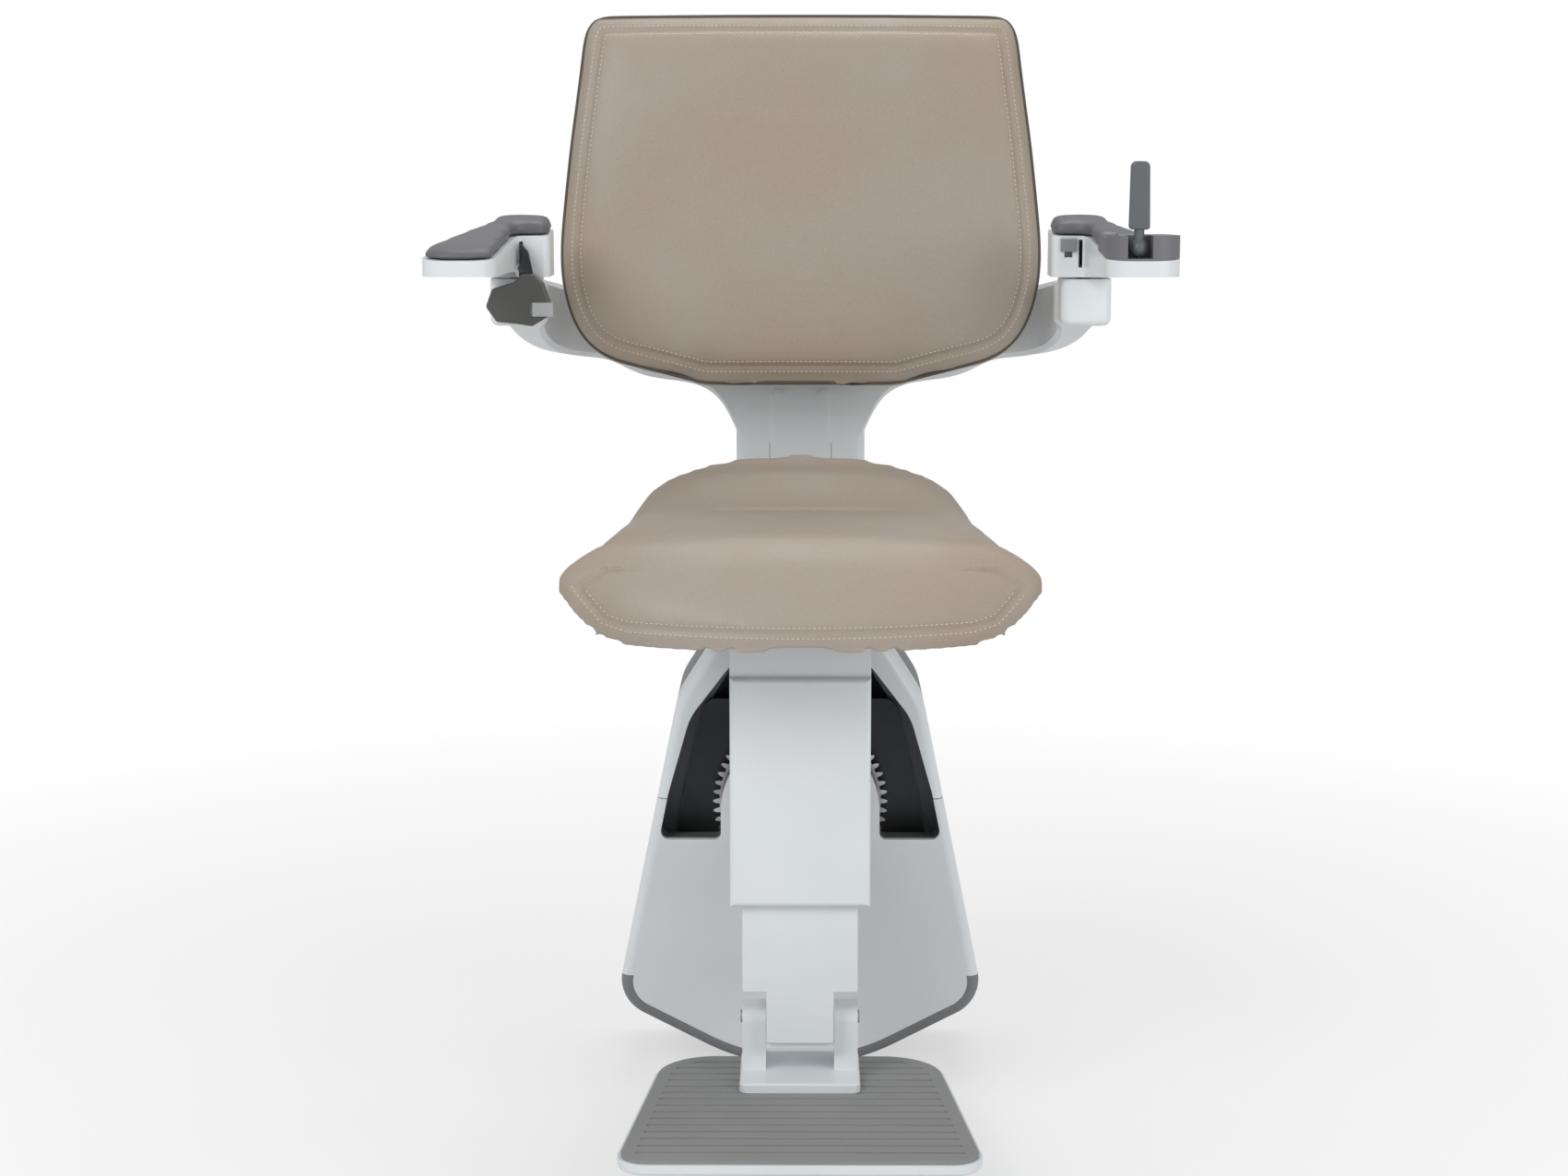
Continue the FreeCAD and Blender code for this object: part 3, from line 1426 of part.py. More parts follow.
widest = s.backrest_half
top_half = s.backrest_top_half
backrest_sections = [
    backrest_section(0, widest * 0.22, 22, 16),
    backrest_section(0.015, widest * 0.49, 16, 9),
    backrest_section(0.05, widest * 0.76, 10, 4),
    backrest_section(0.11, widest * 0.9, 5, 0),
    backrest_section(0.2, widest * 0.97, 1, 0),
    backrest_section(0.3, widest, 0, 0),
    backrest_section(0.5, widest * 0.985, 0, 0),
    backrest_section(0.68, widest * 0.955, 0, 0),
    backrest_section(0.86, top_half * 1.035, 2, 0),
    backrest_section(0.95, top_half * 1.015, 6, 3),
    backrest_section(1, top_half * 0.955, 16, 12),
]
feature("backrest_pad", lean(loft(backrest_sections)))

shell_front = -s.backrest_front + s.backrest_thickness + s.soft_gap
shell_back = shell_front + s.back_shell_thickness
back_shell = upright(
    outline(mirrored([
        (0, s.backrest_low + backrest_height * 0.05, 400),
        (widest * 0.8, s.backrest_low + backrest_height * 0.13, 60),
        (widest * 0.94, s.backrest_low + backrest_height * 0.4, 120),
        (top_half * 0.95, s.backrest_high - backrest_height * 0.05, 24),
    ])),
    shell_front, shell_back,
)
shell_rims = [item for item in back_shell.Edges if item.BoundBox.YMin > shell_back - 0.1]
feature("backrest_shell", lean(back_shell.makeFillet(s.back_shell_thickness * 0.5, shell_rims)))

bracket_block = lean(Part.makeBox(
    s.back_bracket_width, s.backrest_thickness * 2, s.back_bracket_high - s.back_bracket_low,
    Vector(-s.back_bracket_width / 2, shell_back, s.back_bracket_low),
))
bracket_room = sideways(
    outline([
        (-s.backrest_front, s.back_bracket_low - 30, 0),
        (s.stem_front, s.back_bracket_low - 30, 0),
        (s.stem_front, s.stem_top - 4, 0),
        (s.stem_front - 1, s.stem_top, 0),
        (s.stem_front + s.back_bracket_top, s.back_bracket_high + 40, 0),
        (-s.backrest_front, s.back_bracket_high + 40, 0),
    ]),
    -s.back_bracket_width, s.back_bracket_width,
)
feature("back_bracket", bracket_block.common(bracket_room).cut(back_frame))


# Arms: drawn for the right-hand side and mirrored for the left

block_front = -s.arm_rear - s.arm_block_depth
arm_round = s.arm_pin_height - s.arm_low + 1


def arm_plan(inset):
    """The arm from above: a rear block, a swept inner side and a rounded front end."""
    return inset_wire(outline([
        (s.arm_inner_rear, -s.arm_rear, 9),
        (s.arm_inner_rear, block_front, 7),
        (s.arm_inner_front - 2, block_front, 5),
        (s.arm_inner_front, -s.arm_front, 22),
        (s.arm_outer, -s.arm_front, 24),
        (s.arm_outer, -s.arm_flare_front, 80),
        (s.arm_outer_rear, -s.arm_flare_rear, 60),
        (s.arm_outer_rear, -s.arm_rear, 20),
    ]), inset)


def shell_top_at(depth):
    """The height of the joint between shell and pad at a depth in front of the origin."""
    share = (depth - s.arm_rear) / (s.arm_front - s.arm_rear)
    return s.arm_shell_top_rear + (s.arm_shell_top_front - s.arm_shell_top_rear) * share


def arm_prism(inset, low, high):
    solid = Part.Face(arm_plan(inset)).extrude(Vector(0, 0, high - low))
    solid.translate(Vector(0, 0, low))
    return solid


arm_side = sideways(
    outline([
        (-s.arm_rear, s.arm_low, arm_round * 0.6),
        (-s.arm_rear, shell_top_at(s.arm_rear), 0),
        (-s.arm_front - 1, shell_top_at(s.arm_front + 1), 0),
        (-s.arm_front - 1, s.arm_low + 9, 0),
        (block_front - 30, s.arm_low + 7, 40),
        (block_front - 4, s.arm_low, 8),
    ]),
    s.arm_inner_rear - 10, s.arm_outer + 10,
)
arm_body = arm_prism(0, s.arm_low, s.arm_shell_top_rear).common(arm_side)
lug_room = sideways(
    outline([
        (-s.arm_pin_reach - lug_round - 4, s.arm_low - 2, 0),
        (-s.arm_rear + 2, s.arm_low - 2, 0),
        (-s.arm_rear + 2, s.arm_pin_height + lug_round - 1, 0),
        (-s.arm_pin_reach - lug_round - 4, s.arm_pin_height + lug_round - 1, 4),
    ]),
    post_middle - s.arm_lug_thickness / 2 - s.slide_gap, post_middle + s.arm_lug_thickness / 2 + s.slide_gap,
)
pin_room = Part.makeCylinder(
    s.arm_pin_radius + s.fit_gap, s.post_width + 40,
    Vector(s.post_inner - 2, -s.arm_pin_reach, s.arm_pin_height), X_AXIS,
)
pin_room = pin_room.common(Part.makeBox(
    s.post_width - 4 + 1, 40, 40,
    Vector(post_middle - s.post_width / 2 + 1.5, -s.arm_pin_reach - 20, s.arm_pin_height - 20),
))
arm_shell = arm_body.cut([lug_room, pin_room])

# The left arm's shell holds the belt retractor; the right one holds the latch and its tab

reel_x = s.arm_inner_rear + 5
reel_room = Part.makeCylinder(
    s.reel_radius + s.running_gap, s.reel_width + 1, Vector(reel_x - 0.5, -s.reel_reach, s.reel_height), X_AXIS
)
slot_x = s.arm_inner_front - s.latch_width
latch_top = s.latch_low + s.latch_height
belt_slot = Part.makeBox(
    s.latch_width - 1, -s.reel_reach - block_front + 1, s.latch_height - 8,
    Vector(slot_x, block_front - 1, s.latch_low + 2),
)
left_shell = arm_shell.cut([reel_room, belt_slot]).mirror(Vector(), X_AXIS)
feature("arm_shell_left", left_shell)

latch_room = Part.makeBox(
    s.latch_width, s.latch_depth + 1, s.latch_height - 4, Vector(slot_x, block_front - 1, s.latch_low)
)
tab_x = slot_x - 2 - s.tab_width
stem_half = s.tab_height / 4
tab_middle = s.latch_low + s.latch_height * 0.8 - s.tab_height / 4
tab_room = Part.makeBox(
    s.tab_width / 2, s.latch_depth / 2 + 1, s.tab_travel + 2 * stem_half + 1,
    Vector(tab_x + s.tab_width / 4, block_front - 1, tab_middle - stem_half - s.tab_travel - 0.5),
)
feature("arm_shell_right", arm_shell.cut([latch_room, tab_room]))

latch_body = Part.makeBox(
    s.latch_width, s.latch_depth, s.latch_height - 4, Vector(slot_x, block_front, s.latch_low)
)
latch_mouth = Part.makeBox(
    s.latch_width - 2.4, s.latch_depth * 0.7, s.latch_height - 8, Vector(slot_x + 1.2, block_front - 1, s.latch_low + 2)
)
feature("belt_latch", latch_body.cut(latch_mouth))

tab_face = Part.makeBox(
    s.tab_width, s.tab_thickness, s.tab_height, Vector(tab_x, block_front - s.slide_gap - s.tab_thickness,
                                                       tab_middle - s.tab_height / 2)
)
tab_face = tab_face.makeFillet(1.2, [item for item in tab_face.Edges if item.BoundBox.YMax < block_front - 3])
tab_stem = Part.makeBox(
    s.tab_width / 2 - 2 * s.running_gap, s.latch_depth / 2 + s.slide_gap - 1, 2 * stem_half - 2 * s.running_gap,
    Vector(tab_x + s.tab_width / 4 + s.running_gap, block_front - s.slide_gap - 0.5, tab_middle - stem_half + s.running_gap),
)
feature("belt_release_tab", tab_face.fuse(tab_stem))

# The arm pads: the same plan on the shell's top, with a crowned upper edge

def arm_pad(front_cut):
    """A pad from the rear end to a cut in front, its rim rounded over."""
    top_rear = s.arm_shell_top_rear + s.arm_pad_thickness_rear
    top_front = s.arm_shell_top_front + s.arm_pad_thickness_front
    top_at_cut = top_rear + (top_front - top_rear) * (front_cut - s.arm_rear) / (s.arm_front - s.arm_rear)
    profile = sideways(
        outline([
            (-s.arm_rear, shell_top_at(s.arm_rear), 0),
            (-s.arm_rear, top_rear, 0),
            (-front_cut, top_at_cut, 0),
            (-front_cut, shell_top_at(front_cut), 0),
        ]),
        s.arm_inner_rear - 10, s.arm_outer + 10,
    )
    solid = arm_prism(0, s.arm_low, top_rear + 5).common(profile)
    rims = []
    for item in solid.Edges:
        middle = item.valueAt((item.FirstParameter + item.LastParameter) / 2)
        share = (-middle.y - s.arm_rear) / (s.arm_front - s.arm_rear)
        if middle.z > top_rear + (top_front - top_rear) * share - 0.2 and -middle.y < front_cut - 0.1:
            rims.append(item)
    return solid.makeFillet(s.arm_pad_round, rims)


full_pad = arm_pad(s.arm_front + 1)
feature("arm_pad_left", full_pad.mirror(Vector(), X_AXIS))
cap_start = s.arm_front - s.cap_length
feature("arm_pad_right", arm_pad(cap_start))

# The control cap at the front of the right arm, its joystick and two buttons

cap_top = s.arm_shell_top_front + s.cap_height
cap_profile = sideways(
    outline([
        (-cap_start, shell_top_at(cap_start), 0),
        (-cap_start, cap_top - 1, 6),
        (-s.arm_front - 1, cap_top, 0),
        (-s.arm_front - 1, shell_top_at(s.arm_front + 1), 0),
    ]),
    s.arm_inner_rear - 10, s.arm_outer + 10,
)
cap = arm_prism(0, s.arm_low, cap_top + 5).common(cap_profile)
recess_half = s.stick_width / 2 + 2
recess = Part.makeBox(
    2 * recess_half, s.arm_front - s.stick_reach + s.stick_ball_radius + 6, cap_top,
    Vector(s.stick_place - recess_half, -s.arm_front - 2, s.arm_shell_top_front + 2),
)
stick_bore = Part.makeCylinder(
    s.stick_pin_radius + s.fit_gap, s.stick_ball_radius * 3,
    Vector(s.stick_place, -s.stick_reach, s.stick_pivot_height), Y_AXIS,
)
button_places = [
    Vector(s.stick_place - recess_half - s.button_radius - 6, -s.arm_front + 24 + s.button_space * number, 0)
    for number in range(2)
]
wells = [
    Part.makeCylinder(
        s.button_radius + s.running_gap, s.button_height + s.button_travel,
        spot + Vector(0, 0, cap_top - s.button_height - s.button_travel + s.button_rise),
    )
    for spot in button_places
]
wells = [well.fuse(Part.makeCylinder(s.button_radius + s.running_gap, 5, spot + Vector(0, 0, cap_top - 2)))
         for well, spot in zip(wells, button_places)]
feature("control_cap", cap.cut([recess, stick_bore] + wells))

for button_name, spot in zip(("front", "rear"), button_places):
    button = Part.makeCylinder(
        s.button_radius, s.button_height, spot + Vector(0, 0, cap_top - s.button_height + s.button_rise)
    )
    button_rim = [item for item in button.Edges if item.BoundBox.ZMin > cap_top + s.button_rise - 0.1]
    feature(f"arm_button_{button_name}", button.makeFillet(1, button_rim))

ball = Part.makeSphere(s.stick_ball_radius, Vector(s.stick_place, -s.stick_reach, s.stick_pivot_height))
stick_pin = Part.makeCylinder(
    s.stick_pin_radius, s.stick_ball_radius * 2.6, Vector(s.stick_place, -s.stick_reach, s.stick_pivot_height), Y_AXIS
)
stick_base = cap_top + 5
stick_neck = Part.makeCylinder(
    s.stick_neck_radius, stick_base + 2 - s.stick_pivot_height,
    Vector(s.stick_place, -s.stick_reach, s.stick_pivot_height),
)
paddle = upright(
    outline([
        (s.stick_place - s.stick_width / 2, stick_base, 3),
        (s.stick_place + s.stick_width / 2, stick_base, 3),
        (s.stick_place + s.stick_width / 2 - 1, s.stick_top, 5),
        (s.stick_place - s.stick_width / 2 + 1, s.stick_top, 5),
    ]),
    -s.stick_reach - s.stick_thickness / 2, -s.stick_reach + s.stick_thickness / 2,
)
paddle = paddle.makeFillet(2, [item for item in paddle.Edges if not along(Y_AXIS)(item)])
feature("joystick", ball.fuse([stick_pin, stick_neck, paddle]))

# Belt: retractor in the left arm, webbing, grip and tongue

retractor = Part.makeCylinder(s.reel_radius, s.reel_width, Vector(-reel_x - s.reel_width, -s.reel_reach, s.reel_height), X_AXIS)
retractor_foot = Part.makeCylinder(
    s.reel_radius / 3, s.reel_width + 1, Vector(-reel_x - s.reel_width - 0.5, -s.reel_reach, s.reel_height), X_AXIS
)
feature("belt_retractor", retractor.fuse(retractor_foot))

grip_middle_y = block_front - s.grip_thickness
shoulder = s.arm_low - 3.5 - s.grip_low
grip = upright(
    outline([
        (-s.grip_outer, s.grip_low + 18, 5),
        (-s.grip_outer + 10, s.grip_low + 4, 4),
        (-s.grip_outer + 30, s.grip_low + 2, 0),
        (-s.grip_inner - 16, s.grip_low, 5),
        (-s.grip_inner - 1, s.grip_low + 9, 3),
        (-s.grip_inner, s.grip_low + 22, 6),
        (-s.grip_inner - 6, s.grip_high - 9, 4),
        (-s.grip_inner - 15, s.grip_high, 2.5),
        (-s.grip_inner - 26, s.grip_high - 1, 1.5),
        (-s.arm_inner_front + 1, s.grip_low + shoulder, 2),
        (-s.grip_outer + 6, s.grip_high - 14, 4),
    ]),
    grip_middle_y - s.grip_thickness / 2, grip_middle_y + s.grip_thickness / 2,
)
grip_rims = [item for item in grip.Edges if item.BoundBox.YLength < 0.01]
grip = grip.makeFillet(2, grip_rims)
tongue_low = s.grip_low + 8
tongue_room = Part.makeBox(
    s.tongue_length - 3, s.grip_thickness, s.tongue_width,
    Vector(-s.grip_inner - s.tongue_length + 3, grip_middle_y - s.grip_thickness, tongue_low),
)
belt_end = s.grip_high - 6
belt_middle = -s.grip_inner - 22
webbing_room = Part.makeBox(
    s.belt_folded + 1, s.belt_thickness + 0.4, s.grip_high,
    Vector(belt_middle - s.belt_folded / 2 - 0.5, grip_middle_y - s.belt_thickness / 2 - 0.2, belt_end),
)
feature("belt_grip", grip.cut([tongue_room, webbing_room]))
feature("belt_tongue", Part.makeBox(
    s.tongue_length, s.tongue_thickness, s.tongue_width - 1,
    Vector(-s.grip_inner - s.tongue_length + 3, grip_middle_y - s.tongue_thickness, tongue_low + 0.5),
))


def belt_section(x, y, z, turn, pitch, width):
    """A flat rectangle across the belt: turned about its run, which drops by a pitch."""
    run = Vector(0, -math.cos(math.radians(pitch)), -math.sin(math.radians(pitch)))
    side = Vector(1, 0, 0)
    up = run.cross(side)
    angle = math.radians(turn)
    broad = up * math.cos(angle) + side * math.sin(angle)
    thin = run.cross(broad) * (s.belt_thickness / 2)
    broad = broad * (width / 2)
    centre = Vector(x, y, z)
    corners = [centre + broad + thin, centre - broad + thin, centre - broad - thin, centre + broad - thin]
    return Part.makePolygon(corners + [corners[0]])


belt_x = -slot_x - (s.latch_width - 1) / 2
slot_middle = s.latch_low + 2 + (s.latch_height - 8) / 2
belt_drop = slot_middle - s.grip_high
belt_run = block_front - grip_middle_y
feature("belt_webbing", loft([
    belt_section(belt_x, block_front + 3.5, slot_middle, 0, 0, s.belt_width),
    belt_section(belt_x + 0.5, block_front - 1, slot_middle, 0, 0, s.belt_width),
    belt_section(belt_x + 5, block_front - belt_run * 0.4, slot_middle - belt_drop * 0.2, 25, 40, s.belt_width - 2),
    belt_section(
        (belt_x + belt_middle) / 2 + 2, block_front - belt_run * 0.75, slot_middle - belt_drop * 0.65, 60, 65,
        s.belt_folded + 2,
    ),
    belt_section(belt_middle, grip_middle_y, s.grip_high + 0.6, 90, 90, s.belt_folded),
    belt_section(belt_middle, grip_middle_y, belt_end, 90, 90, s.belt_folded),
], False))

# Screws: one group of identical heads that hold the stem's hatch

screws = []
for side in SIDES.values():
    for up in (s.hatch_low + s.screw_inset, s.hatch_high - s.screw_inset):
        screws.append(Part.makeCylinder(
            s.bolt_radius, s.bolt_head,
            Vector(side * (s.hatch_width / 2 - s.screw_inset), s.stem_front - s.bolt_head, up), Y_AXIS,
        ))
feature("hatch_screws", Part.makeCompound(screws))




# The parts that are written out, body by body

CARRIAGE = [
    "chassis_plate", "roller_shafts", "drive_gearbox", "drive_motor", "level_hub", "level_retainer",
    "level_motor", "battery_left", "battery_right", "control_board", "charge_contacts",
    "shroud_upper", "shroud_lower", "rim_band", "slot_liner", "rear_cover",
]
TURNING = [
    "roller_upper_left", "roller_upper_right", "roller_lower_left", "roller_lower_right",
    "drive_pinion", "level_pinion", "level_ring", "level_bracket", "swivel_bush",
]
CHAIR = [
    "spindle", "seat_base", "seat_hinge_pins", "column_channel", "column_cover", "back_frame",
    "stem_hatch", "arm_hinge_pins", "back_bracket", "backrest_shell", "backrest_pad", "hatch_screws",
]
SEAT_AND_FOOTREST = [
    "seat_pan", "seat_pad", "inner_column", "inner_column_cover", "slide_pads", "footrest_pin",
    "footrest_plate", "footrest_mat", "footrest_bracket",
]
ARMS = [
    "arm_shell_left", "arm_pad_left", "belt_retractor", "belt_webbing", "belt_grip", "belt_tongue",
    "arm_shell_right", "arm_pad_right", "control_cap", "belt_latch", "belt_release_tab",
    "joystick", "arm_button_front", "arm_button_rear",
]
NODES = CARRIAGE + TURNING + CHAIR + SEAT_AND_FOOTREST + ARMS


# Check every object and write the parts

doc.recompute()
for item in doc.Objects:
    if "Invalid" in item.State or "Error" in item.State:
        raise RuntimeError(f"{item.Name} did not recompute: {item.State}")

os.makedirs("parts", exist_ok=True)
for label in NODES:
    piece = doc.getObject(label)
    if piece is None:
        raise RuntimeError(f"{label} is missing")
    if piece.Shape.isNull() or not piece.Shape.isValid():
        raise RuntimeError(f"{label} has a bad shape")
    piece.Shape.exportStep(f"parts/{label}.step")
print(len(NODES), "nodes written")
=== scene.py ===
"""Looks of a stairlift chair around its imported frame: plumped leather cushions with their seams and
stitches, padded arms, belt, moulded shells and a ribbed footrest, in a plain pale studio."""

import math

import bmesh
import bpy
import numpy as np
from mathutils import Matrix, Vector
from mathutils.bvhtree import BVHTree


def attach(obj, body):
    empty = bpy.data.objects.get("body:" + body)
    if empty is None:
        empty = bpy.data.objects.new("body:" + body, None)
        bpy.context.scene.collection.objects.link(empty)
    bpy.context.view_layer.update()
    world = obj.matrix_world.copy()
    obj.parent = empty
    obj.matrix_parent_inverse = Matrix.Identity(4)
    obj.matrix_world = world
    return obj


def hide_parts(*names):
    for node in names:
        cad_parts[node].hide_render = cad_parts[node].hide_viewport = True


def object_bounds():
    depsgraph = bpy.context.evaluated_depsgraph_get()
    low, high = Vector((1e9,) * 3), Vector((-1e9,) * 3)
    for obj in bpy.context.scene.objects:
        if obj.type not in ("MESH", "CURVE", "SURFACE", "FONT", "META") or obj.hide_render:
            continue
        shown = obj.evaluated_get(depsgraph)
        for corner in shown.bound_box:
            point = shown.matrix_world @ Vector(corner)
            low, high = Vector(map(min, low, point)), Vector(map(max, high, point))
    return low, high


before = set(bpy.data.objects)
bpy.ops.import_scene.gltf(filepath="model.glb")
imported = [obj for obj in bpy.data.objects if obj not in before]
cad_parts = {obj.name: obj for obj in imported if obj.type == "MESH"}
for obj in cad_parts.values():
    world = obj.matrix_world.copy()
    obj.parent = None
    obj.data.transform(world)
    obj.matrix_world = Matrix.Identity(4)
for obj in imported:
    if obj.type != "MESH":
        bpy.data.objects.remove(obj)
cad_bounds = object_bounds()


# Small helpers for nodes

def shade(red, green, blue):
    """A colour written as it shows on screen, 0 to 255, as the shader's linear colour."""
    return tuple(
        part / 255 / 12.92 if part < 11 else ((part / 255 + 0.055) / 1.055) ** 2.4
        for part in (red, green, blue)
    ) + (1.0,)


def add_node(tree, kind, inputs=None, **settings):
    """One node with its settings; an input is a value, or a socket to link."""
    made = tree.nodes.new(kind)
    for key, value in settings.items():
        setattr(made, key, value)
    for label, value in (inputs or {}).items():
        if isinstance(value, bpy.types.NodeSocket):
            tree.links.new(value, made.inputs[label])
        else:
            made.inputs[label].default_value = value
    return made


def new_group(name, inputs, outputs):
    """An empty shader group with its sockets, its input node and a function that wires its outputs."""
    group = bpy.data.node_groups.new(name, "ShaderNodeTree")
    for label, (kind, value) in inputs.items():
        group.interface.new_socket(label, in_out="INPUT", socket_type=kind).default_value = value
    for label, kind in outputs.items():
        group.interface.new_socket(label, in_out="OUTPUT", socket_type=kind)
    entry = group.nodes.new("NodeGroupInput")
    leave = group.nodes.new("NodeGroupOutput")

    def wire_out(**sockets):
        for label, socket in sockets.items():
            group.links.new(socket, leave.inputs[label])

    return group, entry.outputs, wire_out


COLOUR, NUMBER = "NodeSocketColor", "NodeSocketFloat"
SURFACE = {"Color": COLOUR, "Roughness": NUMBER, "Height": NUMBER}


def object_noise(tree, scale, detail=2.0, stretch=None):
    """Noise on the piece's own coordinates, stretched along an axis where one is given."""
    place = tree.nodes.new("ShaderNodeTexCoord").outputs["Object"]
    if stretch:
        place = add_node(tree, "ShaderNodeMapping", {"Vector": place, "Scale": stretch}).outputs["Vector"]
    return add_node(
        tree, "ShaderNodeTexNoise", {"Vector": place, "Scale": scale, "Detail": detail}
    ).outputs["Fac"]


def spread(tree, value, low, high, source=(0.35, 0.65)):
    """A value mapped from a source range to low and high."""
    return add_node(
        tree, "ShaderNodeMapRange",
        {"Value": value, "From Min": source[0], "From Max": source[1], "To Min": low, "To Max": high},
    ).outputs["Result"]


def mixed(tree, factor, first, second):
    """Two colours mixed by a factor."""
    blend = add_node(tree, "ShaderNodeMix", {0: factor, 6: first, 7: second}, data_type="RGBA")
    return blend.outputs[2]


def summed(tree, value, weight, other):
    """A value times its weight, and another value added."""
    inputs = {0: value, 1: weight, 2: other}
    return add_node(tree, "ShaderNodeMath", inputs, operation="MULTIPLY_ADD").outputs[0]


# Effects shared by the materials

def build_leather_grain():
    """Tanned hide: pebbled cells, pores, slow shifts between two tones and painted shade in the valleys
    between cells.
    """
    group, given, wire_out = new_group(
        "leather_grain",
        {"Tone": (COLOUR, shade(163, 150, 135)), "Warm": (COLOUR, shade(165, 143, 120)),
         "Cells": (NUMBER, 700), "Smooth": (NUMBER, 0.42), "Dull": (NUMBER, 0.6)},
        SURFACE,
    )
    place = group.nodes.new("ShaderNodeTexCoord").outputs["Object"]
    cells = add_node(
        group, "ShaderNodeTexVoronoi", {"Vector": place, "Scale": given["Cells"]}, feature="DISTANCE_TO_EDGE"
    ).outputs["Distance"]
    pebble = spread(group, cells, 0.0, 1.0, (0.0, 0.35))
    height = summed(group, object_noise(group, 2600, 1.0), 0.35, pebble)
    slow = spread(group, object_noise(group, 6.0, 3.0), 0.0, 1.0, (0.36, 0.64))
    tone = mixed(group, slow, given["Tone"], given["Warm"])
    # Painted shade: the valleys between the pebbled cells are mixed toward a dark brown.
    tone_with_valley_shade = mixed(group, spread(group, cells, 0.16, 0.0, (0.0, 0.12)), tone, shade(70, 60, 50))
    rough = add_node(
        group, "ShaderNodeMapRange", {"Value": slow, "To Min": given["Smooth"], "To Max": given["Dull"]}
    ).outputs["Result"]
    wire_out(Color=tone_with_valley_shade, Roughness=rough, Height=height)
    return group


def build_moulded_skin():
    """Moulded plastic or powder coat: fine texture, a faint slow shift in tone and a painted highlight that
    makes edges a touch lighter.
    """
    group, given, wire_out = new_group(
        "moulded_skin",
        {"Tone": (COLOUR, shade(200, 200, 200)), "Shift": (COLOUR, shade(190, 190, 190)),
         "Edge": (COLOUR, shade(230, 230, 230)), "Grain": (NUMBER, 900), "Smooth": (NUMBER, 0.25),
         "Dull": (NUMBER, 0.35), "Edge size": (NUMBER, 0.0012)},
        SURFACE,
    )
    fine = object_noise(group, 1.0, 2.0)
    group.links.new(given["Grain"], fine.node.inputs["Scale"])
    slow = spread(group, object_noise(group, 9.0, 3.0), 0.0, 1.0)
    # Painted highlight: edges, found where the bevel normal turns from the face's own normal, are mixed
    # toward a lighter colour.
    bevel = add_node(group, "ShaderNodeBevel", {"Radius": given["Edge size"]}, samples=4).outputs["Normal"]
    facing = group.nodes.new("ShaderNodeNewGeometry").outputs["Normal"]
    both = {0: bevel, 1: facing}
    turn = add_node(group, "ShaderNodeVectorMath", both, operation="DOT_PRODUCT").outputs["Value"]
    edge_highlight = spread(group, turn, 0.55, 0.0, (0.9, 0.995))
    tone = mixed(group, edge_highlight, mixed(group, slow, given["Tone"], given["Shift"]), given["Edge"])
    rough = add_node(
        group, "ShaderNodeMapRange", {"Value": fine, "To Min": given["Smooth"], "To Max": given["Dull"]}
    ).outputs["Result"]
    wire_out(Color=tone, Roughness=rough, Height=fine)
    return group


def build_turned_metal():
    """Machined or drawn metal: fine lines along one axis and dull patches."""
    group, given, wire_out = new_group(
        "turned_metal",
        {"Tone": (COLOUR, shade(190, 190, 192)), "Dark": (COLOUR, shade(120, 120, 122)),
         "Smooth": (NUMBER, 0.22), "Dull": (NUMBER, 0.5)},
        SURFACE,
    )
    lines = object_noise(group, 60.0, 4.0, (40, 1, 40))
    patches = spread(group, object_noise(group, 30.0, 3.0), 0.0, 1.0)
    tone = mixed(group, spread(group, patches, 0.0, 0.4, (0.2, 1.0)), given["Tone"], given["Dark"])
    rough = add_node(
        group, "ShaderNodeMapRange", {"Value": patches, "To Min": given["Smooth"], "To Max": given["Dull"]}
    ).outputs["Result"]
    wire_out(Color=tone, Roughness=rough, Height=lines)
    return group


def build_webbing_weave():
    """Belt webbing: narrow ribs across the strap's own height with a broken twill on them."""
    group, given, wire_out = new_group(
        "webbing_weave",
        {"Tone": (COLOUR, shade(28, 28, 30)), "Thread": (COLOUR, shade(58, 58, 60)), "Ribs": (NUMBER, 700)},
        SURFACE,
    )
    place = group.nodes.new("ShaderNodeTexCoord").outputs["Object"]
    ribs = add_node(
        group, "ShaderNodeTexWave", {"Vector": place, "Scale": given["Ribs"], "Distortion": 1.5},
        bands_direction="DIAGONAL",
    ).outputs["Fac"]
    wire_out(
        Color=mixed(group, ribs, given["Tone"], given["Thread"]),
        Roughness=spread(group, ribs, 0.9, 0.6, (0.0, 1.0)), Height=ribs,
    )
    return group


GRAIN = build_leather_grain()
SKIN = build_moulded_skin()
TURNED = build_turned_metal()
WEAVE = build_webbing_weave()


def finish(name, group, values, relief, bump=0.0002, **shader):
    """A material: one shared effect into a Principled shader, whose own sockets hold the constants."""
    material = bpy.data.materials.new(name)
    material.use_nodes = True
    tree = material.node_tree
    body = tree.nodes["Principled BSDF"]
    effect = add_node(tree, "ShaderNodeGroup", node_tree=group)
    for label, value in values.items():
        effect.inputs[label].default_value = value
    tree.links.new(effect.outputs["Color"], body.inputs["Base Color"])
    tree.links.new(effect.outputs["Roughness"], body.inputs["Roughness"])
    raised = add_node(
        tree, "ShaderNodeBump", {"Strength": relief, "Distance": bump, "Height": effect.outputs["Height"]}
    )
    tree.links.new(raised.outputs["Normal"], body.inputs["Normal"])
    for label, value in shader.items():
        body.inputs[label.replace("_", " ").title().replace("Ior", "IOR")].default_value = value
    return material


def moulded(name, tone, shift, edge_highlight, smooth, dull, grain=900, relief=0.15, edge_size=0.0012, **shader):
    """A moulded plastic, rubber or coated part."""
    return finish(
        name, SKIN,
        {"Tone": shade(*tone), "Shift": shade(*shift), "Edge": shade(*edge_highlight), "Grain": grain,
         "Smooth": smooth, "Dull": dull, "Edge size": edge_size},
        relief, **shader,
    )


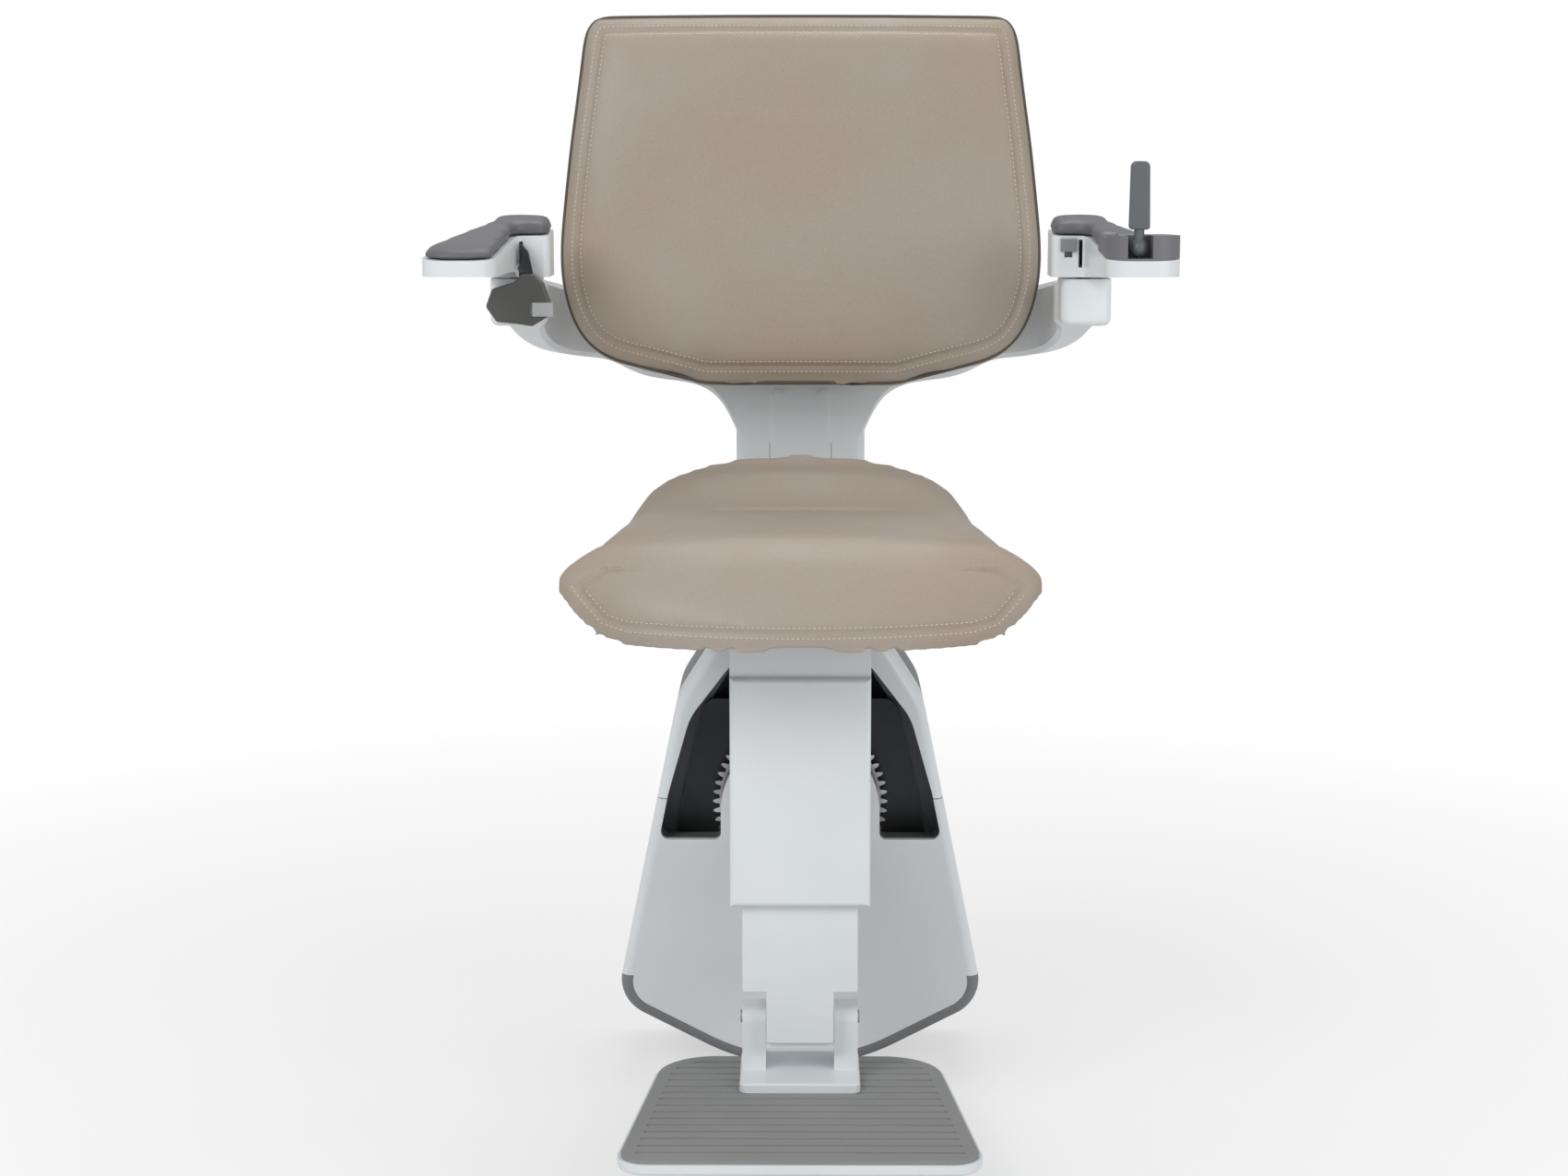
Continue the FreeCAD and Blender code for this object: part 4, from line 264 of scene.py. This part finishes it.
def turned(name, tone, dark, smooth, dull, **shader):
    """A bare metal part."""
    return finish(
        name, TURNED, {"Tone": shade(*tone), "Dark": shade(*dark), "Smooth": smooth, "Dull": dull},
        0.12, metallic=1.0, **shader,
    )


seat_hide = finish(
    "tan_hide", GRAIN, {"Tone": shade(172, 161, 150), "Warm": shade(170, 155, 139), "Cells": 620},
    0.35, 0.00025, coat_weight=0.08, coat_roughness=0.4, specular_ior_level=0.45,
)
arm_hide = finish(
    "arm_vinyl", GRAIN, {"Tone": shade(106, 106, 112), "Warm": shade(98, 99, 105), "Cells": 900,
                         "Smooth": 0.42, "Dull": 0.52},
    0.18, 0.0002,
)
# The third colour of each moulded finish is its painted edge highlight.
binding = moulded("dark_binding", (92, 84, 74), (84, 76, 66), (104, 96, 86), 0.55, 0.7)
thread = moulded("pale_thread", (226, 214, 196), (218, 204, 184), (234, 224, 208), 0.6, 0.8, 3000)
white_shell = moulded(
    "white_shell", (232, 237, 239), (228, 234, 237), (240, 243, 244), 0.24, 0.34, 1400, 0.05,
    coat_weight=0.15, coat_roughness=0.2,
)
white_panel = moulded(
    "white_panel", (230, 233, 235), (226, 230, 233), (236, 238, 240), 0.3, 0.42, 1400, 0.08
)
white_metal = moulded("white_metal", (232, 237, 239), (228, 234, 237), (238, 241, 243), 0.28, 0.4, 1100, 0.1)
grey_shell = moulded("grey_shell", (128, 130, 133), (122, 124, 127), (142, 144, 147), 0.4, 0.55)
liner_grey = moulded("liner_grey", (112, 113, 114), (104, 105, 106), (128, 129, 130), 0.35, 0.5)
mat_rubber = moulded("mat_rubber", (150, 150, 150), (144, 144, 144), (160, 160, 160), 0.62, 0.8, 1800, 0.3)
black_satin = moulded("black_satin", (38, 38, 40), (34, 34, 36), (58, 58, 60), 0.4, 0.55)
dark_plastic = moulded("dark_plastic", (88, 88, 86), (82, 82, 80), (104, 104, 102), 0.34, 0.46)
cap_plastic = moulded("cap_plastic", (118, 118, 124), (112, 112, 118), (130, 130, 136), 0.38, 0.5)
stick_plastic = moulded("stick_plastic", (104, 109, 112), (98, 103, 106), (126, 131, 134), 0.34, 0.46)
button_plastic = moulded("button_plastic", (140, 143, 147), (134, 137, 141), (156, 159, 163), 0.3, 0.4)
slide_nylon = moulded("slide_nylon", (226, 222, 210), (220, 216, 204), (234, 230, 220), 0.35, 0.5)
roller_tread = moulded("roller_tread", (70, 70, 74), (62, 62, 66), (86, 86, 90), 0.45, 0.65, 700, 0.25)
dark_steel = moulded(
    "dark_steel", (74, 76, 78), (66, 68, 70), (120, 122, 124), 0.35, 0.55, 700, 0.2, metallic=0.6
)
board_mask = moulded("board_mask", (34, 96, 58), (30, 88, 52), (60, 120, 84), 0.3, 0.42)
bare_steel = turned("bare_steel", (198, 198, 200), (150, 150, 152), 0.22, 0.42)
cast_alloy = turned("cast_alloy", (176, 178, 180), (140, 142, 144), 0.45, 0.62)
plated = turned("plated", (226, 227, 230), (200, 201, 204), 0.06, 0.14)
contact_brass = turned("contact_brass", (212, 178, 98), (176, 142, 70), 0.25, 0.42)
bush_bronze = turned("bush_bronze", (176, 132, 84), (142, 102, 62), 0.35, 0.5)
webbing = finish("belt_webbing", WEAVE, {"Ribs": 700}, 0.5, 0.0003, sheen_weight=0.2)


# CAD nodes whose shape is right keep it and get their finish here

DRESSED = {
    bare_steel: [
        "level_hub", "level_retainer", "drive_pinion", "level_pinion", "level_ring", "spindle",
        "seat_hinge_pins", "arm_hinge_pins", "footrest_pin", "roller_shafts",
    ],
    dark_steel: ["chassis_plate", "level_bracket", "seat_base", "back_bracket"],
    cast_alloy: ["drive_gearbox"],
    bush_bronze: ["swivel_bush"],
    contact_brass: ["charge_contacts"],
    plated: ["belt_tongue"],
    black_satin: [
        "drive_motor", "level_motor", "battery_left", "battery_right", "seat_pan", "belt_retractor",
        "belt_latch",
    ],
    board_mask: ["control_board"],
    roller_tread: ["roller_upper_left", "roller_upper_right", "roller_lower_left", "roller_lower_right"],
    white_shell: [
        "shroud_upper", "column_cover", "inner_column_cover", "back_frame", "stem_hatch", "arm_shell_left",
        "arm_shell_right", "footrest_bracket", "hatch_screws", "footrest_plate",
    ],
    white_panel: ["shroud_lower"],
    white_metal: ["column_channel", "inner_column"],
    slide_nylon: ["slide_pads"],
    grey_shell: ["rear_cover", "rim_band", "backrest_shell"],
    liner_grey: ["slot_liner"],
    mat_rubber: ["footrest_mat"],
    dark_plastic: ["belt_grip"],
    cap_plastic: ["control_cap"],
    stick_plastic: ["joystick"],
    button_plastic: ["belt_release_tab", "arm_button_front", "arm_button_rear"],
    seat_hide: ["seat_pad", "backrest_pad"],
    arm_hide: ["arm_pad_left", "arm_pad_right"],
    webbing: ["belt_webbing"],
}
for material, names in DRESSED.items():
    for name in names:
        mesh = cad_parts[name].data
        mesh.materials.clear()
        mesh.materials.append(material)


# Cushions: each starts as its CAD solid, is remeshed, swells as cloth and keeps its own limits

VOXEL = 0.005
EASE_PASSES = 10
CLOTH_PRESSURE = 4
CLOTH_FRAMES = 20
SWELL_PASSES = 12
LEAST_LIP_SWELL = 0.15
LIP_RUN = 0.05


def linked(name, mesh, material=None):
    """A mesh as an object of the scene at the origin, its faces smooth."""
    made = bpy.data.objects.new(name, mesh)
    bpy.context.scene.collection.objects.link(made)
    if material:
        mesh.materials.clear()
        mesh.materials.append(material)
    mesh.polygons.foreach_set("use_smooth", [True] * len(mesh.polygons))
    return made


def evaluated_mesh(held, name):
    """A piece's mesh with its modifiers applied."""
    graph = bpy.context.evaluated_depsgraph_get()
    mesh = bpy.data.meshes.new_from_object(held.evaluated_get(graph))
    mesh.name = name
    return mesh


def applied(held):
    """A piece with its modifiers made part of its mesh."""
    held.data = evaluated_mesh(held, held.name)
    held.modifiers.clear()
    return held


def coordinates(mesh, key="co"):
    """The places or normals of a mesh's vertices as rows."""
    flat = np.empty(len(mesh.vertices) * 3)
    if key == "co":
        mesh.vertices.foreach_get("co", flat)
    else:
        mesh.vertex_normals.foreach_get("vector", flat)
    return flat.reshape(-1, 3)


def moved(mesh, places):
    mesh.vertices.foreach_set("co", places.ravel())
    mesh.update()


def node_solid(node, name):
    """A CAD node's surface as one closed mesh of its own."""
    made = bmesh.new()
    made.from_mesh(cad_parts[node].data)
    bmesh.ops.remove_doubles(made, verts=made.verts, dist=0.00005)
    bmesh.ops.recalc_face_normals(made, faces=made.faces)
    mesh = bpy.data.meshes.new(name)
    made.to_mesh(mesh)
    made.free()
    return mesh


def evened(mesh, values, passes):
    """Values on a mesh's vertices, averaged with their neighbours."""
    ends = np.empty(len(mesh.edges) * 2, dtype=int)
    mesh.edges.foreach_get("vertices", ends)
    first, second = ends.reshape(-1, 2).T
    count = np.bincount(ends, minlength=len(values)) + 1
    for _ in range(passes):
        gathered = np.bincount(first, values[second], len(values))
        gathered = gathered + np.bincount(second, values[first], len(values))
        values = (values + gathered) / count
    return values


def thick_share(places, thin):
    """How much of the swell a place takes: less along a thin lip, given as the y where it ends."""
    if thin is None:
        return 1
    return np.clip((places[:, 1] - thin) / LIP_RUN, LEAST_LIP_SWELL, 1)


def plumped(node, name, material, start_in, cap, resting, thin=None):
    """A cushion from its CAD solid: swollen as cloth by at most a cap, flat on the side that rests."""
    cushion = linked(name, node_solid(node, name), material)
    remesh = cushion.modifiers.new("even_mesh", "REMESH")
    remesh.mode = "VOXEL"
    remesh.voxel_size = VOXEL
    ease = cushion.modifiers.new("ease", "SMOOTH")
    ease.factor = 0.5
    ease.iterations = EASE_PASSES
    applied(cushion)
    solid = coordinates(cushion.data)
    outward = coordinates(cushion.data, key="normal")
    free = 1 - np.clip((outward @ np.array(resting) - 0.3) / 0.4, 0, 1)
    start = solid - outward * (start_in * free[:, None])
    moved(cushion.data, start)
    cloth = cushion.modifiers.new("swell", "CLOTH")
    cloth.settings.use_pressure = True
    cloth.settings.uniform_pressure_force = CLOTH_PRESSURE
    cloth.settings.effector_weights.gravity = 0
    cloth.settings.quality = 4
    cloth.point_cache.frame_start = 1
    cloth.point_cache.frame_end = CLOTH_FRAMES
    for step in range(1, CLOTH_FRAMES + 1):
        bpy.context.scene.frame_set(step)
    applied(cushion)
    bpy.context.scene.frame_set(1)
    swell = np.sum((coordinates(cushion.data) - start) * outward, axis=1)
    swell = evened(cushion.data, np.clip(swell, 0, cap), SWELL_PASSES)
    swell = swell * free * thick_share(start, thin)
    moved(cushion.data, start + outward * swell[:, None])
    finer = cushion.modifiers.new("finer", "SUBSURF")
    finer.levels = 1
    finer.render_levels = 1
    applied(cushion)
    cushion.data.materials.clear()
    cushion.data.materials.append(material)
    cushion.data.polygons.foreach_set("use_smooth", [True] * len(cushion.data.polygons))
    return cushion


# Seams: an outline seen square on, distances inside it, and paths at even steps

def outline_of(points):
    """The outline round flat points, anticlockwise, by turning corners."""
    ordered = sorted(set(map(tuple, np.round(points, 4))))

    def half(places):
        kept = []
        for place in places:
            while len(kept) > 1 and (
                (kept[-1][0] - kept[-2][0]) * (place[1] - kept[-2][1])
                - (kept[-1][1] - kept[-2][1]) * (place[0] - kept[-2][0])
            ) <= 0:
                kept.pop()
            kept.append(place)
        return kept[:-1]

    return np.array(half(ordered) + half(ordered[::-1]))


def sides_of(loop):
    """Each side's start and the direction that points into the outline."""
    run = np.roll(loop, -1, axis=0) - loop
    inward = np.stack([-run[:, 1], run[:, 0]], axis=1)
    return loop, inward / np.linalg.norm(inward, axis=1)[:, None]


def distance_inside(loop, points):
    """How far inside the outline each point lies."""
    start, inward = sides_of(loop)
    return np.min(points @ inward.T - np.sum(start * inward, axis=1)[None, :], axis=1)


def path_inside(loop, inset, pitch):
    """Places at even steps along a line inside the outline, closed."""
    start, inward = sides_of(loop)
    centre = loop.mean(axis=0)
    turn = np.linspace(0, 2 * math.pi, 1440, endpoint=False)
    rays = np.stack([np.cos(turn), np.sin(turn)], axis=1)
    room = np.sum((centre - start) * inward, axis=1) - inset
    closing = -(rays @ inward.T)
    reach = np.min(np.where(closing > 1e-6, room[None, :] / np.maximum(closing, 1e-6), 10), axis=1)
    line = centre + rays * reach[:, None]
    lengths = np.linalg.norm(np.roll(line, -1, axis=0) - line, axis=1)
    travelled = np.concatenate([[0], np.cumsum(lengths)])
    steps = np.linspace(0, travelled[-1], max(8, round(travelled[-1] / pitch)), endpoint=False)
    closed = np.vstack([line, line[:1]])
    return np.stack([np.interp(steps, travelled, closed[:, axis]) for axis in range(2)], axis=1)


def on_surface(cushion, places, ahead):
    """Places seen square on, dropped onto the cushion: (place, normal) for each that lands."""
    tree = BVHTree.FromPolygons(
        [vertex.co for vertex in cushion.data.vertices],
        [tuple(face.vertices) for face in cushion.data.polygons],
    )
    landed = []
    for place in places:
        spot, normal, _face, _far = tree.ray_cast(place - ahead * 0.5, ahead)
        landed.append((spot, normal) if spot else None)
    return landed


def stitches(bundle, landed, length=0.0031, thick=0.0009):
    """Short stitches along a landed path, each lying on the surface."""
    for here, there in zip(landed, landed[1:] + landed[:1]):
        if not here or not there or (there[0] - here[0]).length > 0.009:
            continue
        run = (there[0] - here[0]).normalized()
        up = here[1]
        side = up.cross(run).normalized()
        turn = Matrix((run, side, run.cross(side))).transposed().to_4x4()
        size = Matrix.Diagonal((length / 2, thick / 2, thick / 2, 1))
        bmesh.ops.create_uvsphere(
            bundle, u_segments=6, v_segments=4, radius=1,
            matrix=Matrix.Translation(here[0] + up * thick * 0.2) @ turn @ size,
        )


def tube_along(name, landed, radius, material, closed=True):
    """A bead of binding along a landed path."""
    spots = [hit[0] for hit in landed if hit]
    line = bpy.data.curves.new(name, "CURVE")
    line.dimensions = "3D"
    line.bevel_depth = radius
    line.bevel_resolution = 2
    run = line.splines.new("NURBS")
    run.points.add(len(spots) - 1)
    for point, spot in zip(run.points, spots):
        point.co = (*spot, 1)
    run.use_cyclic_u = closed
    run.use_endpoint_u = not closed
    run.order_u = 4
    run.resolution_u = 2
    shaped = bpy.data.objects.new(name + "_line", line)
    bpy.context.scene.collection.objects.link(shaped)
    made = linked(name, evaluated_mesh(shaped, name), material)
    bpy.data.objects.remove(shaped)
    return made


def finished(bundle, name, material):
    mesh = bpy.data.meshes.new(name)
    bundle.to_mesh(mesh)
    bundle.free()
    return linked(name, mesh, material)


def dent(distance, middle, width):
    """How much of a groove reaches a point at a distance."""
    return np.exp(-((distance - middle) / width) ** 2)


# The back cushion, seen square on once its lean is taken out

SEAM = 0.017
ROW_OFFSET = 0.0045
STITCH_PITCH = 0.0044
LEAN = math.radians(8)
BACK_FOOT = Vector((0, -0.072, 0.566))
LEANED = Matrix.Translation(BACK_FOOT) @ Matrix.Rotation(-LEAN, 4, "X") @ Matrix.Translation(-BACK_FOOT)
UPRIGHT = LEANED.inverted()
AHEAD = (LEANED.to_3x3() @ Vector((0, 1, 0))).normalized()

back_cushion = plumped("backrest_pad", "back_cushion", seat_hide, 0.003, 0.009, tuple(AHEAD))
spots = coordinates(back_cushion.data)
upright_turn = np.array(UPRIGHT.to_3x3())
upright_shift = np.array(UPRIGHT.translation)
flat = spots @ upright_turn.T + upright_shift
back_outline = outline_of(flat[:, [0, 2]])
inside = distance_inside(back_outline, flat[:, [0, 2]])
facing = coordinates(back_cushion.data, key="normal")
forward = np.clip(-(facing @ np.array(AHEAD)) * 1.6, 0, 1)
lift = -0.0024 * dent(inside, SEAM, 0.0032) + 0.0030 * np.clip((inside - SEAM) / 0.05, 0, 1) ** 0.6
moved(back_cushion.data, spots + facing * (lift * forward)[:, None])

back_thread = bmesh.new()
for inset in (SEAM - ROW_OFFSET, SEAM + ROW_OFFSET):
    path = path_inside(back_outline, inset, STITCH_PITCH)
    stitches(back_thread, on_surface(
        back_cushion, [LEANED @ Vector((x, -0.072, z)) for x, z in path], AHEAD
    ))
back_stitching = finished(back_thread, "back_stitching", thread)
edge_path = path_inside(back_outline, 0.0022, 0.012)
back_binding = tube_along(
    "back_binding",
    on_surface(back_cushion, [LEANED @ Vector((x, -0.072, z)) for x, z in edge_path], AHEAD),
    0.0021, binding,
)

# The seat cushion: a stitched band along its front lip and a crease before its upturned rear

seat_cushion = plumped("seat_pad", "seat_cushion", seat_hide, 0.002, 0.007, (0, 0, -1), thin=-0.45)
spots = coordinates(seat_cushion.data)
seat_outline = outline_of(spots[spots[:, 1] < -0.33][:, [0, 2]])
inside = distance_inside(seat_outline, spots[:, [0, 2]])
facing = coordinates(seat_cushion.data, key="normal")
lip = np.clip(-facing[:, 1] * 2, 0, 1) * (spots[:, 1] < -0.33) * (spots[:, 2] < 0.43)
lift = -0.0022 * dent(inside, SEAM, 0.0030) * lip
crease_ends = np.clip((0.095 - np.abs(spots[:, 0])) / 0.02, 0, 1)
crease = dent(spots[:, 1], -0.186, 0.004) * crease_ends * (facing[:, 2] > 0.5)
lift -= 0.0018 * crease
moved(seat_cushion.data, spots + facing * lift[:, None])

seat_thread = bmesh.new()
FRONT = Vector((0, 1, 0))
for inset in (SEAM - ROW_OFFSET, SEAM + ROW_OFFSET):
    path = [place for place in path_inside(seat_outline, inset, STITCH_PITCH) if place[1] < 0.412]
    stitches(seat_thread, on_surface(seat_cushion, [Vector((x, -0.45, z)) for x, z in path], FRONT))
seat_stitching = finished(seat_thread, "seat_stitching", thread)

# Arm pads: smaller swell

arm_cushions = {}
for side_name in ("left", "right"):
    arm_cushions[side_name] = plumped(
        f"arm_pad_{side_name}", f"arm_cushion_{side_name}", arm_hide, 0.0012, 0.0022, (0, 0, -1)
    )

# Belt webbing: the strap with softened edges

strap = linked("belt_strap", node_solid("belt_webbing", "belt_strap"), webbing)
softened = strap.modifiers.new("soft_edges", "BEVEL")
softened.width = 0.0003
softened.segments = 2
softened.limit_method = "ANGLE"
applied(strap)

for piece, body, nodes, fill in (
    (back_cushion, "chair", ("backrest_pad",), 0.7), (seat_cushion, "seat", ("seat_pad",), 0.75),
    (arm_cushions["left"], "arm_left", ("arm_pad_left",), 0.9),
    (arm_cushions["right"], "arm_right", ("arm_pad_right",), 0.9),
):
    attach(piece, body)
    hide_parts(*nodes)
for piece, body in ((back_stitching, "chair"), (back_binding, "chair"), (seat_stitching, "seat")):
    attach(piece, body)
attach(strap, "arm_left")
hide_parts("belt_webbing")


# Studio: a pale floor and backdrop, soft lamps and the photograph's camera

FLOOR = cad_bounds[0][2] - 0.0005
FOCAL_PIXELS = 3085
IMAGE_WIDTH = 1701
PITCH_DOWN = math.radians(9)
YAW_LEFT = math.radians(0.334)


def backdrop_material(name, lit, shown):
    """A pale surface that keeps a soft shadow and shows white to the camera."""
    material = bpy.data.materials.new(name)
    material.use_nodes = True
    tree = material.node_tree
    tree.nodes.clear()
    matt = add_node(tree, "ShaderNodeBsdfDiffuse", {"Color": lit})
    glow = add_node(tree, "ShaderNodeEmission", {"Color": (1, 1, 1, 1), "Strength": 1.0})
    place = tree.nodes.new("ShaderNodeTexCoord").outputs["Object"]
    away = add_node(tree, "ShaderNodeVectorMath", {0: place}, operation="LENGTH").outputs["Value"]
    whiter = spread(tree, away, shown, 1.0, (0.5, 1.7))
    seen = tree.nodes.new("ShaderNodeLightPath").outputs["Is Camera Ray"]
    share = add_node(tree, "ShaderNodeMath", {0: whiter, 1: seen}, operation="MULTIPLY").outputs[0]
    both = add_node(tree, "ShaderNodeMixShader", {0: share, 1: matt.outputs[0], 2: glow.outputs[0]})
    add_node(tree, "ShaderNodeOutputMaterial", {"Surface": both.outputs[0]})
    return material


floor_mesh = bpy.data.meshes.new("studio_floor")
sheet = bmesh.new()
bmesh.ops.create_grid(sheet, x_segments=1, y_segments=1, size=8)
bmesh.ops.translate(sheet, verts=sheet.verts, vec=(0, 0, FLOOR))
sheet.to_mesh(floor_mesh)
sheet.free()
floor_mesh.materials.append(backdrop_material("pale_floor", (0.82, 0.82, 0.82, 1), 0.55))
studio_floor = bpy.data.objects.new("studio_floor", floor_mesh)
bpy.context.scene.collection.objects.link(studio_floor)

world = bpy.data.worlds.new("studio")
bpy.context.scene.world = world
world.use_nodes = True
sky = world.node_tree
sky.nodes.clear()
rays = sky.nodes.new("ShaderNodeLightPath").outputs
seen_rays = {0: rays["Is Camera Ray"], 1: rays["Is Transmission Ray"]}
seen = add_node(sky, "ShaderNodeMath", seen_rays, operation="MAXIMUM")
soft_light = add_node(sky, "ShaderNodeBackground", {"Color": (1, 1, 1, 1), "Strength": 0.5})
white_back = add_node(sky, "ShaderNodeBackground", {"Color": (1, 1, 1, 1), "Strength": 1.0})
sky_parts = {0: seen.outputs[0], 1: soft_light.outputs[0], 2: white_back.outputs[0]}
sky_mix = add_node(sky, "ShaderNodeMixShader", sky_parts)
add_node(sky, "ShaderNodeOutputWorld", {"Surface": sky_mix.outputs[0]})


def soft_lamp(name, place, aim, size, power):
    """A square area lamp that faces a point."""
    lamp = bpy.data.lights.new(name, "AREA")
    lamp.size = size
    lamp.energy = power
    held = bpy.data.objects.new(name, lamp)
    held.location = place
    held.rotation_euler = (Vector(aim) - Vector(place)).to_track_quat("-Z", "Y").to_euler()
    bpy.context.scene.collection.objects.link(held)


soft_lamp("key_lamp", (-1.9, -2.6, 2.4), (0, -0.2, 0.4), 1.6, 42)
soft_lamp("fill_lamp", (2.3, -2.2, 1.5), (0, -0.2, 0.4), 1.8, 24)
soft_lamp("top_lamp", (0.2, 0.6, 2.8), (0, -0.2, 0.5), 1.4, 20)

camera_data = bpy.data.cameras.new("photo_camera")
camera_data.sensor_width = 36
camera_data.lens = FOCAL_PIXELS * camera_data.sensor_width / IMAGE_WIDTH
photo_camera = bpy.data.objects.new("photo_camera", camera_data)
photo_camera.location = (0, -2.85, 0.803)
photo_camera.rotation_euler = (math.pi / 2 - PITCH_DOWN, 0, YAW_LEFT)
bpy.context.scene.collection.objects.link(photo_camera)
bpy.context.scene.camera = photo_camera
bpy.context.scene.view_settings.view_transform = "Standard"
